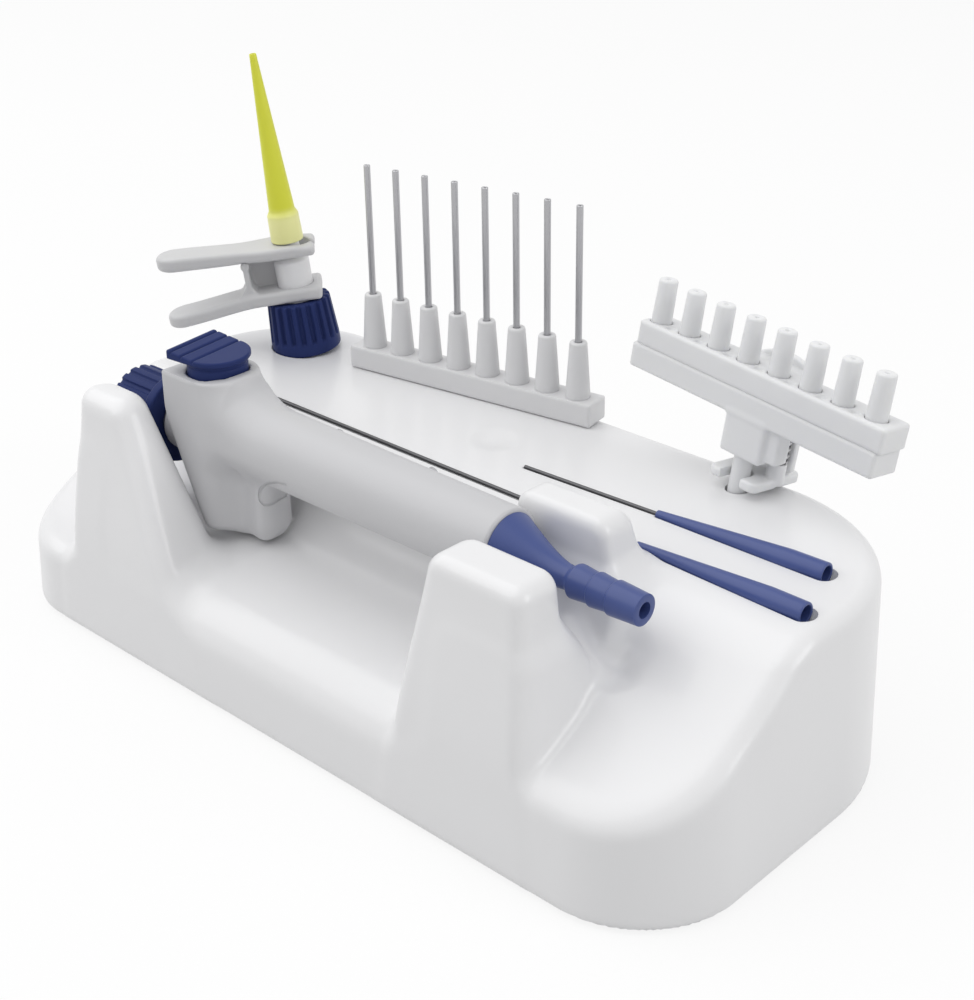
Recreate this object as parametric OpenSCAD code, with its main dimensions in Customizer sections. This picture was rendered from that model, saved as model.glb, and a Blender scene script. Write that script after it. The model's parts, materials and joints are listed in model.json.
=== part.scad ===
// Hand-held suction pipette set: a moulded stand that carries a handset, three nose adapters and two needles.
// Millimetres, +Z up, X along the stand, front towards -Y, origin under the middle of the stand.

/* [Stand] */
// Length of the stand
stand_l = 220; // [212:1:250]
// Depth of the stand, front to back
stand_w = 108; // [104:1:130]
// Height of the stand's flat top above the table
stand_h = 51; // [48:0.5:58]
// How far the walls lean in between floor and top
stand_draft = 2.5; // [1:0.5:4]
// Rounding of the top edge
stand_edge_r = 4; // [2:0.5:6]
// Wall thickness of the stand
stand_wall = 3.5; // [2.5:0.5:4.5]
// Corner radius of the plan at the front
front_corner_r = 25.5; // [20:0.5:30]
// Corner radius of the plan at the back, right
right_corner_r = 44; // [30:1:50]
// Corner radius of the plan at the back, left
left_corner_r = 34; // [26:1:44]
// Height of the three posts above the top
post_rise = 12; // [9:0.5:14]
// Depth of the handset's tray below the top
tray_depth = 20.5; // [20.5:0.5:24]
// Depth of the tray's front lip below the top
lip_depth = 26; // [24:0.5:29]
// How far the rubber feet stand out below the stand
foot_h = 0.8; // [0.4:0.1:1.2]
// Radius of a rubber foot
foot_r = 7; // [5:0.5:8]

/* [Handset] */
// Distance of the handset's plane from the stand's front
handset_in = 30; // [29:0.5:33]
// Distance of the button's axis from the stand's left end
button_in = 61; // [58:0.5:64]
// Height of the handle's axis above the stand's top
handle_rise = 5.2; // [5.2:0.1:7]
// Length of the handle, from the button's axis to its hose end
handle_l = 94; // [88:1:98]
// Radius of the handle at the head
handle_r = 9.3; // [9:0.1:9.6]
// Radius of the handle at its hose end
handle_end_r = 8.6; // [8.2:0.1:9]
// Height of the head above the handle's axis
head_up = 13.8; // [13:0.1:15]
// Depth of the hook below the handle's axis
hook_down = 25.2; // [23:0.1:25.2]
// Wall thickness of the housing
housing_wall = 2; // [1.6:0.1:2.2]
// Radius of the push button's stem
button_r = 7.3; // [7:0.1:7.4]
// Travel of the push button
button_travel = 2; // [1.5:0.1:2.5]
// Drop of the nose's axis below the handle's axis
nose_drop = 3.2; // [2.6:0.1:3.6]
// Length of the nose nut
nut_l = 18; // [15:0.5:20]
// Radius of the nose nut
nut_r = 9; // [8:0.1:9.5]
// Outer radius of the hose connector's end
hose_r = 3.6; // [3.2:0.1:3.8]
// Radius of the suction passage
passage_r = 0.9; // [0.7:0.05:1]

/* [Adapters] */
// Distance between neighbouring channels
pitch = 9; // [8.5:0.1:9.2]
// Number of channels in both rows
channels = 8; // [4:1:8]
// Radius of the spigot under each adapter
spigot_r = 2.3; // [2.2:0.05:2.6]
// Length of each spigot
spigot_l = 13; // [11:0.5:14]
// Lean of the single-channel adapter, in degrees
single_lean = 7.2; // [5:0.1:9]
// Heading of that lean, in degrees from +X
single_heading = 228; // [222:1:234]
// Height of the fluted collar
collar_h = 14.5; // [13:0.5:14.5]
// Radius of the fluted collar at its foot
collar_r = 9.5; // [9:0.1:10]
// Number of flutes on the collar
collar_flutes = 20; // [16:1:22]
// Length of the pipette tip
tip_l = 50; // [40:1:60]
// Turn of the needle manifold about the vertical, in degrees
manifold_yaw = 9.2; // [6:0.2:10]
// Lean of the needle manifold towards the front, in degrees
manifold_lean = 1.5; // [0:0.1:2]
// Length of the manifold's needles above their hubs
needle_l = 34.6; // [25:0.1:45]
// Outer radius of a manifold needle
needle_r = 0.75; // [0.6:0.05:0.9]
// Lean of the row adapter towards the back, in degrees
row_lean = 7; // [5:0.5:7]
// Tilt of the row adapter along its length, in degrees
row_tilt = 3.5; // [2:0.5:4]
// Turn of the row adapter about the vertical, in degrees
row_yaw = -6.4; // [-8:0.2:-5]
// Travel of the row adapter's ejector comb
comb_travel = 4; // [2:0.5:4.5]

/* [Needles] */
// Length of a needle hub
hub_l = 43; // [36:1:44]
// Radius of a hub at its open end
hub_r = 2.7; // [2.4:0.1:2.9]
// Radius of a hub where its tube leaves
hub_tip_r = 1; // [0.8:0.1:1.2]
// Radius of a needle's tube
tube_r = 0.5; // [0.4:0.05:0.6]
// Length of the short needle's tube
short_tube = 38; // [30:1:44]
// Length of the long needle's tube
long_tube = 119; // [100:1:122]

/* [Fits] */
// Gap between parts that lift out or slide apart
gap = 0.3; // [0.25:0.05:0.4]
// Radial gap of a running or guided fit
running = 0.08; // [0.05:0.01:0.1]
// Gap between parts that are pressed or bonded together
snug = 0.05; // [0.02:0.01:0.08]

/* [Hidden] */
$fn = 48;

white = [0.93, 0.93, 0.94];
grey = [0.72, 0.73, 0.75];
navy = [0.16, 0.19, 0.38];
steel = [0.7, 0.7, 0.72];
black = [0.08, 0.08, 0.09];
milky = [0.86, 0.87, 0.88];
yellow = [0.85, 0.85, 0.25];

// How far a cutting shape runs past what it cuts
over = 40;

// Stand: half sizes, then sign, sign and radius of each corner of its plan
half_l = stand_l / 2;
half_w = stand_w / 2;
corners = [[-1, -1, front_corner_r], [1, -1, front_corner_r], [1, 1, right_corner_r], [-1, 1, left_corner_r]];
edge_angles = [0, 30, 60, 90];
post_r = 4;
post_top = stand_h + post_rise;
left_post_x = [[-31, 17], [-25.5, -9]];
front_post_x = [[-2, 25], [-2.5, 19]];
rear_post_x = [[-9.5, 22.5], [-6.5, 15.5]];
rear_post_y = [[8.8, 24], [10, 20]];
front_cut_x = [-27, 31];
front_cut_back = 10;
cradle_x = [-11, 33];
cradle_y = [-20, 14];
tray_floor = stand_h - tray_depth;
lip_z = stand_h - lip_depth;
notch_floor = stand_h - 7;
front_void_top = 15;
rear_void_top = stand_h - 5.5;
rear_void_back = 13.5;
plate_h = 2.5;
plate_z = foot_h + 1.5;
foot_recess = 1.2;
foot_in = [27, 20];
foot_places = [for (x = [-1, 1], y = [-1, 1]) [x * (half_l - foot_in[0]), y * (half_w - foot_in[1])]];
screw_r = 1.5;
screw_head_r = 3;
screw_l = 9;
pillar_r = 4;
boss_r = 7.5;
screw_in = [55, 85, 50];
screw_edge = [10, 11];
screw_places = [
  [-half_l + screw_in[0], half_w - screw_edge[0]], [half_l - screw_in[1], half_w - screw_edge[0]],
  [-half_l + screw_in[2], -half_w + screw_edge[1]], [half_l - screw_in[2], -half_w + screw_edge[1]]];

// Handset frame: x from the button's axis, y from the handset's plane, z from the handle's axis
button_x = -half_l + button_in;
handset_y = -half_w + handset_in;
handle_z = stand_h + handle_rise;
button_hole_r = button_r + gap;
head_half = button_hole_r + housing_wall;
head_left = -head_half;
head_right = 13;
chin_z = 3 - nose_drop;
hook_left = 8;
hook_end = 19.5;
hook_h = 13.5;
hook_r = 6;
hook_half = 6;
neck_x = [10, 22];
neck_r = 20;
plug_r = handle_end_r - housing_wall - 0.6;
plug_l = 15.8;
rim_r = handle_end_r - 0.6;
flare_l = 17;
flare_curve = 1.35;
connector_neck_r = 3.4;
connector_bore_r = 1.5;
barb_l = 5.4;
barb_r = [3.9, 4.45];
connector_end = handle_l + flare_l + 2 * barb_l + 6.8;
housing_screw_places = [[9.6, -hook_down + 5.6], [35, 4.8], [65, 4.8]];
housing_screw_r = 1;
housing_screw_head_r = 1.8;
housing_screw_head_h = 1.6;
housing_screw_seat = 5.3;
nut_right = -15;
nut_left = nut_right - nut_l;
nut_flange_r = nut_r + 2.5;
nut_flange_h = 3;
nut_ribs = 18;
nut_lip = 3.6;
nut_mouth_r = nut_r - 4.5;
socket_r = spigot_r + 0.1;
socket_out_r = nut_r - 3.1;
socket_l = 15;
socket_left = nut_left + nut_lip + gap;
valve_r = 4.4;
valve_bore_r = 3.2;
valve_z = [-6.4, 3.8];
spring_r = (valve_r + valve_bore_r) / 2;
spring_wire_r = 0.5;
tube_out_r = 2;
cap_bottom = head_up + button_travel + gap;
cap_h = 3.3;
cap_r = button_hole_r + 0.5;
cap_nose = 9;
cap_grooves = 3;
button_low = 9.3;
cup_r = 6;
cup_top = cap_bottom - 1.2;
plunger_r = 1.6;
plunger_top = cap_bottom + 1.1;
plunger_lands = [[-2.4, 1.4], [2.4, 1.3]];
plunger_low = plunger_lands[0][0];
seal_r = 0.45;
seal_proud = 0.15;

// Adapter frames: where each spigot's axis meets the stand's top
single_in = [28, 21.3];
manifold_in = [84.5, 14];
row_apart = 20.5;
row_back = 14.2;
row_span = pitch * (channels - 1);
single_place = [-half_l + single_in[0], half_w - single_in[1], stand_h];
manifold_place = [-half_l + manifold_in[0], half_w - manifold_in[1], stand_h];
row_place = [manifold_place[0] + row_span + row_apart, half_w - row_back, stand_h];
row_xs = [for (i = [0:channels - 1]) pitch * i - row_span / 2];
row_end = row_span / 2 + 3.8;
seal_z = -8;
channel_r = 1.4;
plug_h = 2.5;

// Single-channel adapter, along its own axis
collar_top_r = collar_r - 1;
flute_r = 0.95;
flute_out = 0.3;
flute_z = 4;
cone_seat = 8;
cone_r = 4.8;
cone_neck_r = 3.2;
cone_tip_r = 2.3;
lower_arm_z = [collar_h + 0.5, collar_h + 4];
upper_arm_z = [lower_arm_z[1] + 8.8, lower_arm_z[1] + 12.1];
arm_pivot_x = 12.3;
arm_pivot = [arm_pivot_x, upper_arm_z[0] - 1];
arm_bead_r = 1.2;
arm_reach = 36;
arm_back = 7;
jaw_half = 6.4;
arm_half = 4.4;
arm_taper = [6, 14];
arm_end = 3;
arm_fall = [3.2, 2.4];
web_t = 1.2;
tip_z = upper_arm_z[1] + gap;
cone_top = tip_z + 10;
tip_base_r = 4.4;
tip_collar_h = 8.5;
tip_end_r = 0.9;
tip_bore_r = 0.45;

// Needle manifold, along its own axis
manifold_w = 8;
manifold_h = 6.1;
manifold_channel_z = 3.3;
manifold_end = row_span / 2 + 5.5;
cone_base_r = 3.2;
cone_end_r = 2.2;
manifold_cone_h = 15;
needle_bore_r = 0.45;
manifold_pin_r = 1.9;

// Row adapter, along its own axis
press_plate_x = [-7.6, 13.5];
press_plate_y = [-3, 11.5];
press_plate_z = [6, 8.3];
comb_spring_solid = 4.9;
bar_y = [-4, 5.2];
bar_low = press_plate_z[1] + comb_travel + comb_spring_solid;
bar_z = [bar_low, bar_low + 7];
row_channel_z = bar_low + 3.5;
neck_box_x = [-4.8, 10.5];
neck_box_y = [-4, 2.6];
neck_box_z = 9;
row_cone_r = [2.6, 2.25];
row_cone_l = 16.2;
row_cone_top = bar_z[1] + row_cone_l;
row_bore_r = 1;
comb_h = 5.5;
comb_z = bar_z[1] + gap;
guide_place = [6, 4.9];
guide_r = 1.2;
guide_low = 3.2;
guide_boss_x = [2.8, 9.2];
guide_boss_y = 7.2;
link_y = [guide_boss_y + gap, guide_boss_y + 2.1];
link_half = 8;
hump_rise = 2.4;

// Needle frames: the open end of each hub, and the short needle's turn about the vertical
needle_z = stand_h + 0.1;
long_in = [8.7, 26.2];
short_in = [14.6, 43];
long_place = [half_l - long_in[0], handset_y + long_in[1], needle_z];
short_place = [half_l - short_in[0], handset_y + short_in[1], needle_z];
short_yaw = 2.7;
hub_socket_r = 1.5;
hub_socket_l = 12;
groove_gap = 0.4;
pit_l = 4;

module in_handset() translate([button_x, handset_y, handle_z]) children();
module along_x(x, z = 0) translate([x, 0, z]) rotate([0, 90, 0]) children();
module at_single() translate(single_place) rotate([0, single_lean, single_heading]) children();
module at_manifold() translate(manifold_place) rotate([manifold_lean, 0, manifold_yaw]) children();
module at_row() translate(row_place) rotate([-row_lean, row_tilt, row_yaw]) children();
module at_short() translate(short_place) rotate([0, -90, short_yaw]) children();
module at_long() translate(long_place) rotate([0, -90, 0]) children();

// A box from its near corner to its far corner
module box(low, high) translate(low) cube(high - low);

// A round bar with a concentric bore
module tube(r, bore, h) difference() {
  cylinder(r = r, h = h);
  translate([0, 0, -1]) cylinder(r = bore, h = h + 2);
}

// A ring of round section that lies across the axis at height z, its outer edge at radius r
module o_ring(r, z, section = seal_r) translate([0, 0, z]) rotate_extrude()
  translate([r - seal_r, 0]) circle(r = section, $fn = 24);

// The groove that such a ring lies in
module o_groove(r, z) o_ring(r, z, seal_r + snug);

// A coil spring as one closed tube along a helix
module coil(coil_r, wire_r, z0, z1, turns, steps = 20, sides = 8) {
  count = turns * steps;
  rise = z1 - z0 - 2 * wire_r;
  points = [for (i = [0:count], j = [0:sides - 1])
    let (a = 360 * i / steps, b = 360 * j / sides, r = coil_r + wire_r * cos(b))
    [r * cos(a), r * sin(a), z0 + wire_r + rise * i / count + wire_r * sin(b)]];
  walls = [for (i = [0:count - 1], j = [0:sides - 1], half = [0, 1])
    let (k = (j + 1) % sides, low = i * sides, high = low + sides)
    half == 0 ? [low + j, high + j, high + k] : [low + j, high + k, low + k]];
  first = [for (j = [0:sides - 1]) j];
  last = [for (j = [sides - 1:-1:0]) count * sides + j];
  polyhedron(points, concat(walls, [first, last]), convexity = 10);
}

// A thin slice of the stand's plan at one height, drawn in by inset
module plan_slab(inset, z) for (c = corners)
  translate([c[0] * (half_l - c[2]), c[1] * (half_w - c[2]), z]) cylinder(r = c[2] - inset, h = 0.01);

module stand_block() hull() {
  plan_slab(0, foot_h);
  for (a = edge_angles) plan_slab(
    stand_draft + stand_edge_r * (1 - cos(a)),
    stand_h - stand_edge_r + stand_edge_r * sin(a) - 0.01);
}

// A rounded post between two rectangles [x0, x1, y0, y1], from z0 to z1, in the handset's x and y
module post(low, high, z0, z1) translate([button_x, handset_y, 0])
  hull() for (s = [[low, z0], [high, z1 - post_r]],
      x = [s[0][0] + post_r, s[0][1] - post_r], y = [s[0][2] + post_r, s[0][3] - post_r])
    translate([x, y, s[1]]) sphere(r = post_r, $fn = 24);

module posts() {
  front = -handset_in + 1;
  behind_head = -head_half + 1.2;
  end = handle_l;
  base = front_void_top - 1;
  left = left_post_x;
  right = [for (x = front_post_x) [end + x[0], end + x[1]]];
  rear = [for (x = rear_post_x) [end + x[0], end + x[1]]];
  post([each left[0], front, behind_head], [each left[1], front + 6, behind_head - 4], base, post_top + 1);
  post([each right[0], front, behind_head + 1], [each right[1], front + 5, behind_head - 2], base, post_top);
  post([each rear[0], each rear_post_y[0]], [each rear[1], each rear_post_y[1]], notch_floor, post_top);
}

// Tray in front of the handle: open to the front, its floor rising to a rounded back corner
module tray_cut() in_handset() {
  round_r = 8;
  back = 12;
  ramp_out = 16;
  ramp_drop = 7;
  floor_z = tray_floor - handle_z;
  hull() {
    translate([hook_left + 3, back - round_r, floor_z + round_r]) rotate([0, 90, 0])
      cylinder(r = round_r, h = handle_l - hook_left - 7, $fn = 32);
    box([hook_left - 1, -handset_in - over, over], [handle_l, back, over + 1]);
    box([hook_left + 3, -handset_in - ramp_out, lip_z - handle_z - ramp_drop],
      [handle_l - 3, -handset_in - ramp_out + 1, 0]);
  }
}

// Pocket for the head, trough for the nose, open at the left end, and the low left front corner
module nose_cut() in_handset() {
  trough_r = nut_flange_r + 0.5;
  trough_z = tray_floor - handle_z + trough_r;
  bay_r = 58.5;
  left = -button_in - over;
  along_x(left, trough_z) cylinder(r = trough_r, h = hook_left + 2 - left);
  box([left, -trough_r, trough_z], [hook_left + 2, trough_r, over]);
  box([head_left - 1, -head_half - 0.8, tray_floor - handle_z], [head_right + 1, head_half + 0.8, over]);
  translate([left, -handset_in - 4, lip_z - handle_z + bay_r - 5.5]) rotate([0, 90, 0])
    cylinder(r = bay_r, h = front_cut_x[0] - left, $fn = 96);
}

// Low right front corner, where the hose leaves: a floor that climbs towards the back, with a bowl in it
module scoop_cut() {
  scoop_r = 58;
  scoop_left = 26;
  scoop_out = 7;
  scoop_sink = 3.5;
  bowl_r = 24;
  bowl_in = 23;
  bowl_front = 9;
  bowl_sink = 3;
  translate([button_x + handle_l + scoop_left, -half_w - scoop_out, lip_z + scoop_r - scoop_sink])
    rotate([0, 90, 0]) cylinder(r = scoop_r, h = stand_l, $fn = 96);
  translate([half_l - bowl_in, handset_y - bowl_front, stand_h - bowl_sink]) sphere(r = bowl_r, $fn = 96);
}

// A channel along the handle's axis, open upwards
module open_channel(x0, x1, r) {
  along_x(x0) cylinder(r = r, h = x1 - x0);
  box([x0, -r, 0], [x1, r, over]);
}

// What the handset lies in between the right posts: a saddle's round for the handle, room for the connector
module cradle_cut() in_handset() {
  left = handle_l + cradle_x[0];
  open_channel(left, handle_l + 8, handle_end_r + gap + 0.1);
  open_channel(left, handle_l + cradle_x[1], handle_end_r - 2.3);
}

// Rib across the tray's right end that carries the handle
module saddle() in_handset()
  box([handle_l - 4, -8, notch_floor - handle_z - 2], [handle_l + 3, 8, -6]);

// Socket for one adapter spigot, in that adapter's frame
module spigot_hole(slack = gap) translate([0, 0, -spigot_l - 1.5])
  cylinder(r = spigot_r + slack, h = spigot_l + over);

// Groove for a needle that lies on the top, in that needle's frame
module needle_groove(tube_l) {
  cylinder(r1 = hub_r + groove_gap, r2 = hub_tip_r + groove_gap, h = hub_l);
  translate([0, 0, -pit_l]) cylinder(r = hub_r + groove_gap + 0.5, h = pit_l + 0.01);
  translate([0, 0, hub_l - 1]) cylinder(r = tube_r + groove_gap, h = tube_l + 3);
}

module stand_void() difference() {
  rear_void_y = handset_y + rear_void_back + stand_wall;
  intersection() {
    hull() {
      plan_slab(stand_wall, -1);
      plan_slab(stand_wall + stand_draft, rear_void_top);
    }
    union() {
      box([-half_l, -half_w, -2], [half_l, half_w, front_void_top]);
      box([-half_l, rear_void_y, -2], [half_l, half_w, rear_void_top + 0.01]);
    }
  }
  for (p = [single_place, manifold_place, row_place])
    translate([p[0], p[1], stand_h - spigot_l - 4.6]) cylinder(r = boss_r, h = spigot_l);
  for (p = screw_places) translate([p[0], p[1], plate_z + plate_h]) cylinder(r = pillar_r, h = stand_h);
}

module stand_shell() color(white) difference() {
  union() {
    difference() {
      stand_block();
      tray_cut();
      nose_cut();
      scoop_cut();
      in_handset() {
        box([front_cut_x[0], -handset_in - over, lip_z - handle_z],
          [handle_l + front_cut_x[1], -front_cut_back, over]);
        box([handle_l + cradle_x[0], cradle_y[0], notch_floor - handle_z],
          [handle_l + cradle_x[1], cradle_y[1], over]);
      }
    }
    posts();
    saddle();
  }
  cradle_cut();
  stand_void();
  at_single() {
    spigot_hole();
    translate([0, 0, -gap]) cylinder(r = collar_r + gap, h = collar_h);
  }
  at_manifold() spigot_hole();
  at_row() spigot_hole(2 * gap);
  at_short() needle_groove(short_tube);
  at_long() needle_groove(long_tube);
  for (p = screw_places) translate([p[0], p[1], 0]) cylinder(r = screw_r + snug, h = plate_z + screw_l + 1);
}

// The stand's plan as a flat outline, drawn in by inset
module plan_outline(inset) {
  polygon([for (c = corners, k = [0, 1])
    let (first = (c[0] * c[1] > 0) == (k == 0))
    [c[0] * (half_l - (first ? inset : c[2])), c[1] * (half_w - (first ? c[2] : inset))]]);
  for (c = corners) translate([c[0] * (half_l - c[2]), c[1] * (half_w - c[2])]) circle(r = c[2] - inset);
}

module base_plate() color(white) difference() {
  translate([0, 0, plate_z]) linear_extrude(plate_h) plan_outline(stand_wall + 2 * gap);
  for (p = screw_places) translate([p[0], p[1], 0]) {
    cylinder(r = screw_r + gap, h = stand_h);
    cylinder(r = screw_head_r + gap, h = plate_z + 1);
  }
  for (p = foot_places) translate([p[0], p[1], 0]) cylinder(r = foot_r + snug, h = plate_z + foot_recess);
}

module base_screws() color(steel) for (p = screw_places) translate([p[0], p[1], plate_z]) difference() {
  union() {
    translate([0, 0, -0.8]) cylinder(r = screw_head_r, h = 1.8);
    cylinder(r = screw_r, h = screw_l);
  }
  translate([0, 0, -1]) cylinder(r = screw_r - 0.1, h = 1, $fn = 6);
}

module rubber_feet() color(black) for (p = foot_places) translate([p[0], p[1], 0])
  cylinder(r = foot_r, h = plate_z + foot_recess);

// Side outline of the head in x and z, drawn in by w
module head_outline(w) polygon([
  [head_left + w, head_up - w], [head_left + w, chin_z + w / 4], [1 + w, 2 - hook_down + w / 2],
  [3.5 + w / 2, w - hook_down], [head_right - w, w - hook_down], [head_right - w, 0],
  [neck_x[0] - w / 2, head_up - w]]);

// Side outline of the hook, with a rounded lower corner
module hook_outline() {
  translate([hook_left, -hook_down]) square([hook_end - hook_r - hook_left, hook_h]);
  translate([hook_end - 2 * hook_r, hook_r - hook_down]) square([2 * hook_r, hook_h - hook_r]);
  translate([hook_end - hook_r, hook_r - hook_down]) circle(r = hook_r);
}

// Hollow curve from the head down to the handle
module neck_outline() difference() {
  translate([neck_x[0] - 1, 0]) square([neck_x[1] - neck_x[0] + 1, head_up - 0.6]);
  translate([neck_x[1], handle_r - 0.1 + neck_r]) circle(r = neck_r, $fn = 96);
}

// A side outline given thickness across the handset
module across(half) rotate([90, 0, 0]) translate([0, 0, -half]) linear_extrude(2 * half) children();

module housing_solid() {
  across(head_half) head_outline(0);
  across(hook_half) hook_outline();
  across(hook_half) neck_outline();
  along_x(hook_left) cylinder(r1 = handle_r, r2 = handle_end_r, h = handle_l - hook_left);
}

module housing_hollow() {
  across(head_half - housing_wall) head_outline(housing_wall);
  along_x(neck_x[0]) cylinder(r = handle_end_r - housing_wall, h = handle_l - plug_l - neck_x[0]);
  along_x(handle_l - plug_l - 1) cylinder(r = plug_r + snug, h = plug_l + over);
}

module housing() difference() {
  union() {
    difference() {
      housing_solid();
      housing_hollow();
    }
    for (p = housing_screw_places) intersection() {
      housing_solid();
      translate([p[0], over / 2, p[1]]) rotate([90, 0, 0]) cylinder(r = housing_screw_head_r + 0.8, h = over);
    }
  }
  translate([0, 0, button_low]) cylinder(r = button_hole_r, h = over);
  along_x(nut_left, -nose_drop) cylinder(r = socket_out_r + snug, h = -nut_left - valve_r);
  along_x(valve_r) cylinder(r = tube_out_r + snug, h = handle_l);
  for (p = housing_screw_places) translate([p[0], 0, p[1]]) rotate([90, 0, 0]) {
    translate([0, 0, -over]) cylinder(r = housing_screw_head_r + gap, h = over - housing_screw_seat);
    translate([0, 0, -over]) cylinder(r = housing_screw_r + snug, h = over + 4);
  }
}

module handset_front_shell() color(grey) in_handset() intersection() {
  housing();
  box([-over, -over, -over], [handle_l + over, 0, over]);
}

module handset_rear_shell() color(grey) in_handset() intersection() {
  housing();
  box([-over, 0, -over], [handle_l + over, over, over]);
}

module housing_screws() color(steel) in_handset() for (p = housing_screw_places)
  translate([p[0], housing_screw_seat + snug, p[1]]) rotate([90, 0, 0]) {
    cylinder(r = housing_screw_r, h = housing_screw_seat + 3.5);
    translate([0, 0, -housing_screw_head_h]) cylinder(r = housing_screw_head_r, h = housing_screw_head_h);
  }

// Plan of the button's cap: a disc with a straight edge on the nose side
module cap_plan() {
  circle(r = cap_r);
  translate([-cap_nose, -cap_r]) square([cap_nose, 2 * cap_r]);
}

module push_button() color(navy) in_handset() difference() {
  union() {
    translate([0, 0, cap_bottom]) linear_extrude(cap_h) cap_plan();
    translate([0, 0, button_low]) cylinder(r = button_r, h = cap_bottom - button_low);
  }
  translate([0, 0, button_low - 1]) cylinder(r = cup_r, h = cup_top - button_low + 1);
  translate([0, 0, button_low]) cylinder(r = plunger_r + snug, h = plunger_top + snug - button_low);
  for (i = [0:cap_grooves - 1]) translate([1.6 + 2.6 * i - cap_nose, over / 2, cap_bottom + cap_h])
    rotate([90, 0, 0]) cylinder(r = 0.6, h = over);
}

module button_spring() color(steel) in_handset() 
  coil(spring_r, spring_wire_r, valve_z[1] + snug, cup_top - snug, 4);

module valve_plunger() color(milky) in_handset() difference() {
  union() {
    translate([0, 0, plunger_low]) cylinder(r = plunger_r, h = plunger_top - plunger_low);
    for (l = plunger_lands) translate([0, 0, l[0]]) cylinder(r = valve_bore_r - running, h = l[1]);
  }
  for (l = plunger_lands) o_groove(valve_bore_r - running, l[0] + l[1] / 2);
}

module plunger_seals() color(black) in_handset() for (l = plunger_lands)
  o_ring(valve_bore_r - running, l[0] + l[1] / 2);

module valve_body() color(milky) in_handset() difference() {
  translate([0, 0, valve_z[0]]) cylinder(r = valve_r, h = valve_z[1] - valve_z[0]);
  translate([0, 0, valve_z[0] + 1]) cylinder(r = valve_bore_r, h = over);
  along_x(-valve_r - 1, -nose_drop) cylinder(r = passage_r, h = valve_r + 1);
  along_x(0) cylinder(r = passage_r, h = valve_r + 1);
}

module nose_socket() color(grey) in_handset() along_x(0, -nose_drop) difference() {
  translate([0, 0, socket_left]) cylinder(r = socket_out_r, h = -socket_left - valve_r - 2 * snug);
  translate([0, 0, socket_left - 1]) cylinder(r = socket_r, h = socket_l + 1);
  translate([0, 0, socket_left]) cylinder(r = passage_r, h = over);
  o_groove(socket_r + 2 * seal_r, socket_left + socket_l / 2);
}

module nose_seal() color(black) in_handset() along_x(0, -nose_drop)
  o_ring(socket_r + 2 * seal_r, socket_left + socket_l / 2);

module nose_nut() color(navy) in_handset() along_x(nut_left, -nose_drop) difference() {
  union() {
    linear_extrude(nut_l - 1) difference() {
      circle(r = nut_r);
      for (i = [0:nut_ribs - 1]) rotate(360 * i / nut_ribs)
        translate([nut_r + 0.3, 0]) circle(r = 0.8, $fn = 24);
    }
    translate([0, 0, nut_l - nut_flange_h]) cylinder(r = nut_flange_r, h = nut_flange_h);
  }
  translate([0, 0, nut_lip]) cylinder(r = socket_out_r + running, h = nut_l);
  translate([0, 0, -1]) cylinder(r = nut_mouth_r, h = nut_l);
}

module suction_tube() color(milky) in_handset() along_x(valve_r + 2 * snug)
  tube(tube_out_r, passage_r, handle_l - plug_l + 5 - valve_r);

// Radius of the connector's flare, from its rim at t = 0 to its neck at t = 1
function flare_radius(t) = connector_neck_r + (rim_r - connector_neck_r) * pow(1 - t, flare_curve);

module hose_connector() color(navy) in_handset() along_x(handle_l) rotate_extrude() difference() {
  barb_x = flare_l + 1.3;
  end_x = connector_end - handle_l;
  polygon(concat(
    [[0, -plug_l], [plug_r, -plug_l], [plug_r, snug]],
    [for (t = [0:0.1:1]) [flare_radius(t), snug + flare_l * t]],
    [for (i = [0, 1], k = [0, 1]) [barb_r[k], barb_x + barb_l * (i + 0.9 * k)]],
    [[hose_r, barb_x + 2 * barb_l], [hose_r, end_x], [0, end_x]]));
  translate([-1, -over]) square([1 + connector_bore_r, 3 * over]);
  translate([-1, -plug_l - 1]) square([1 + tube_out_r + snug, 6.8]);
  translate([plug_r - seal_r, -5]) circle(r = seal_r + snug, $fn = 24);
}

module connector_o_ring() color(black) in_handset() along_x(handle_l) o_ring(plug_r, -5);

module fluted_collar() color(navy) at_single() difference() {
  union() {
    cylinder(r1 = collar_r, r2 = collar_top_r, h = collar_h);
    translate([0, 0, -spigot_l]) cylinder(r = spigot_r, h = spigot_l + 1);
  }
  for (i = [0:collar_flutes - 1]) rotate([0, 0, 360 * i / collar_flutes])
    translate([collar_r + flute_out, 0, flute_z]) rotate([0, -3.2, 0])
      cylinder(r = flute_r, h = collar_h, $fn = 24);
  translate([0, 0, -spigot_l - 1]) cylinder(r = passage_r, h = spigot_l + over);
  translate([0, 0, collar_h - cone_seat]) cylinder(r = cone_r + snug, h = over);
  o_groove(spigot_r + seal_proud, seal_z);
}

module collar_o_ring() color(black) at_single() o_ring(spigot_r + seal_proud, seal_z);

module tip_cone() color(grey) at_single() rotate_extrude() difference() {
  polygon([[0, collar_h - cone_seat], [cone_r, collar_h - cone_seat], [cone_r, upper_arm_z[0] - 1.9],
    [cone_neck_r, upper_arm_z[0] - gap], [cone_tip_r + 0.6, tip_z], [cone_tip_r, cone_top], [0, cone_top]]);
  translate([-1, 0]) square([1 + passage_r, cone_top + 1]);
}

// An arm from its side outline, wide at the jaw, narrow and round at its outer end
module arm() intersection() {
  across(jaw_half) children();
  linear_extrude(cone_top) {
    polygon([[-arm_back, -jaw_half], [arm_taper[0], -jaw_half], [arm_taper[1], -arm_half],
      [arm_reach - arm_half, -arm_half], [arm_reach - arm_half, arm_half],
      [arm_taper[1], arm_half], [arm_taper[0], jaw_half], [-arm_back, jaw_half]]);
    translate([arm_reach - arm_half, 0]) circle(r = arm_half);
  }
}

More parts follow.
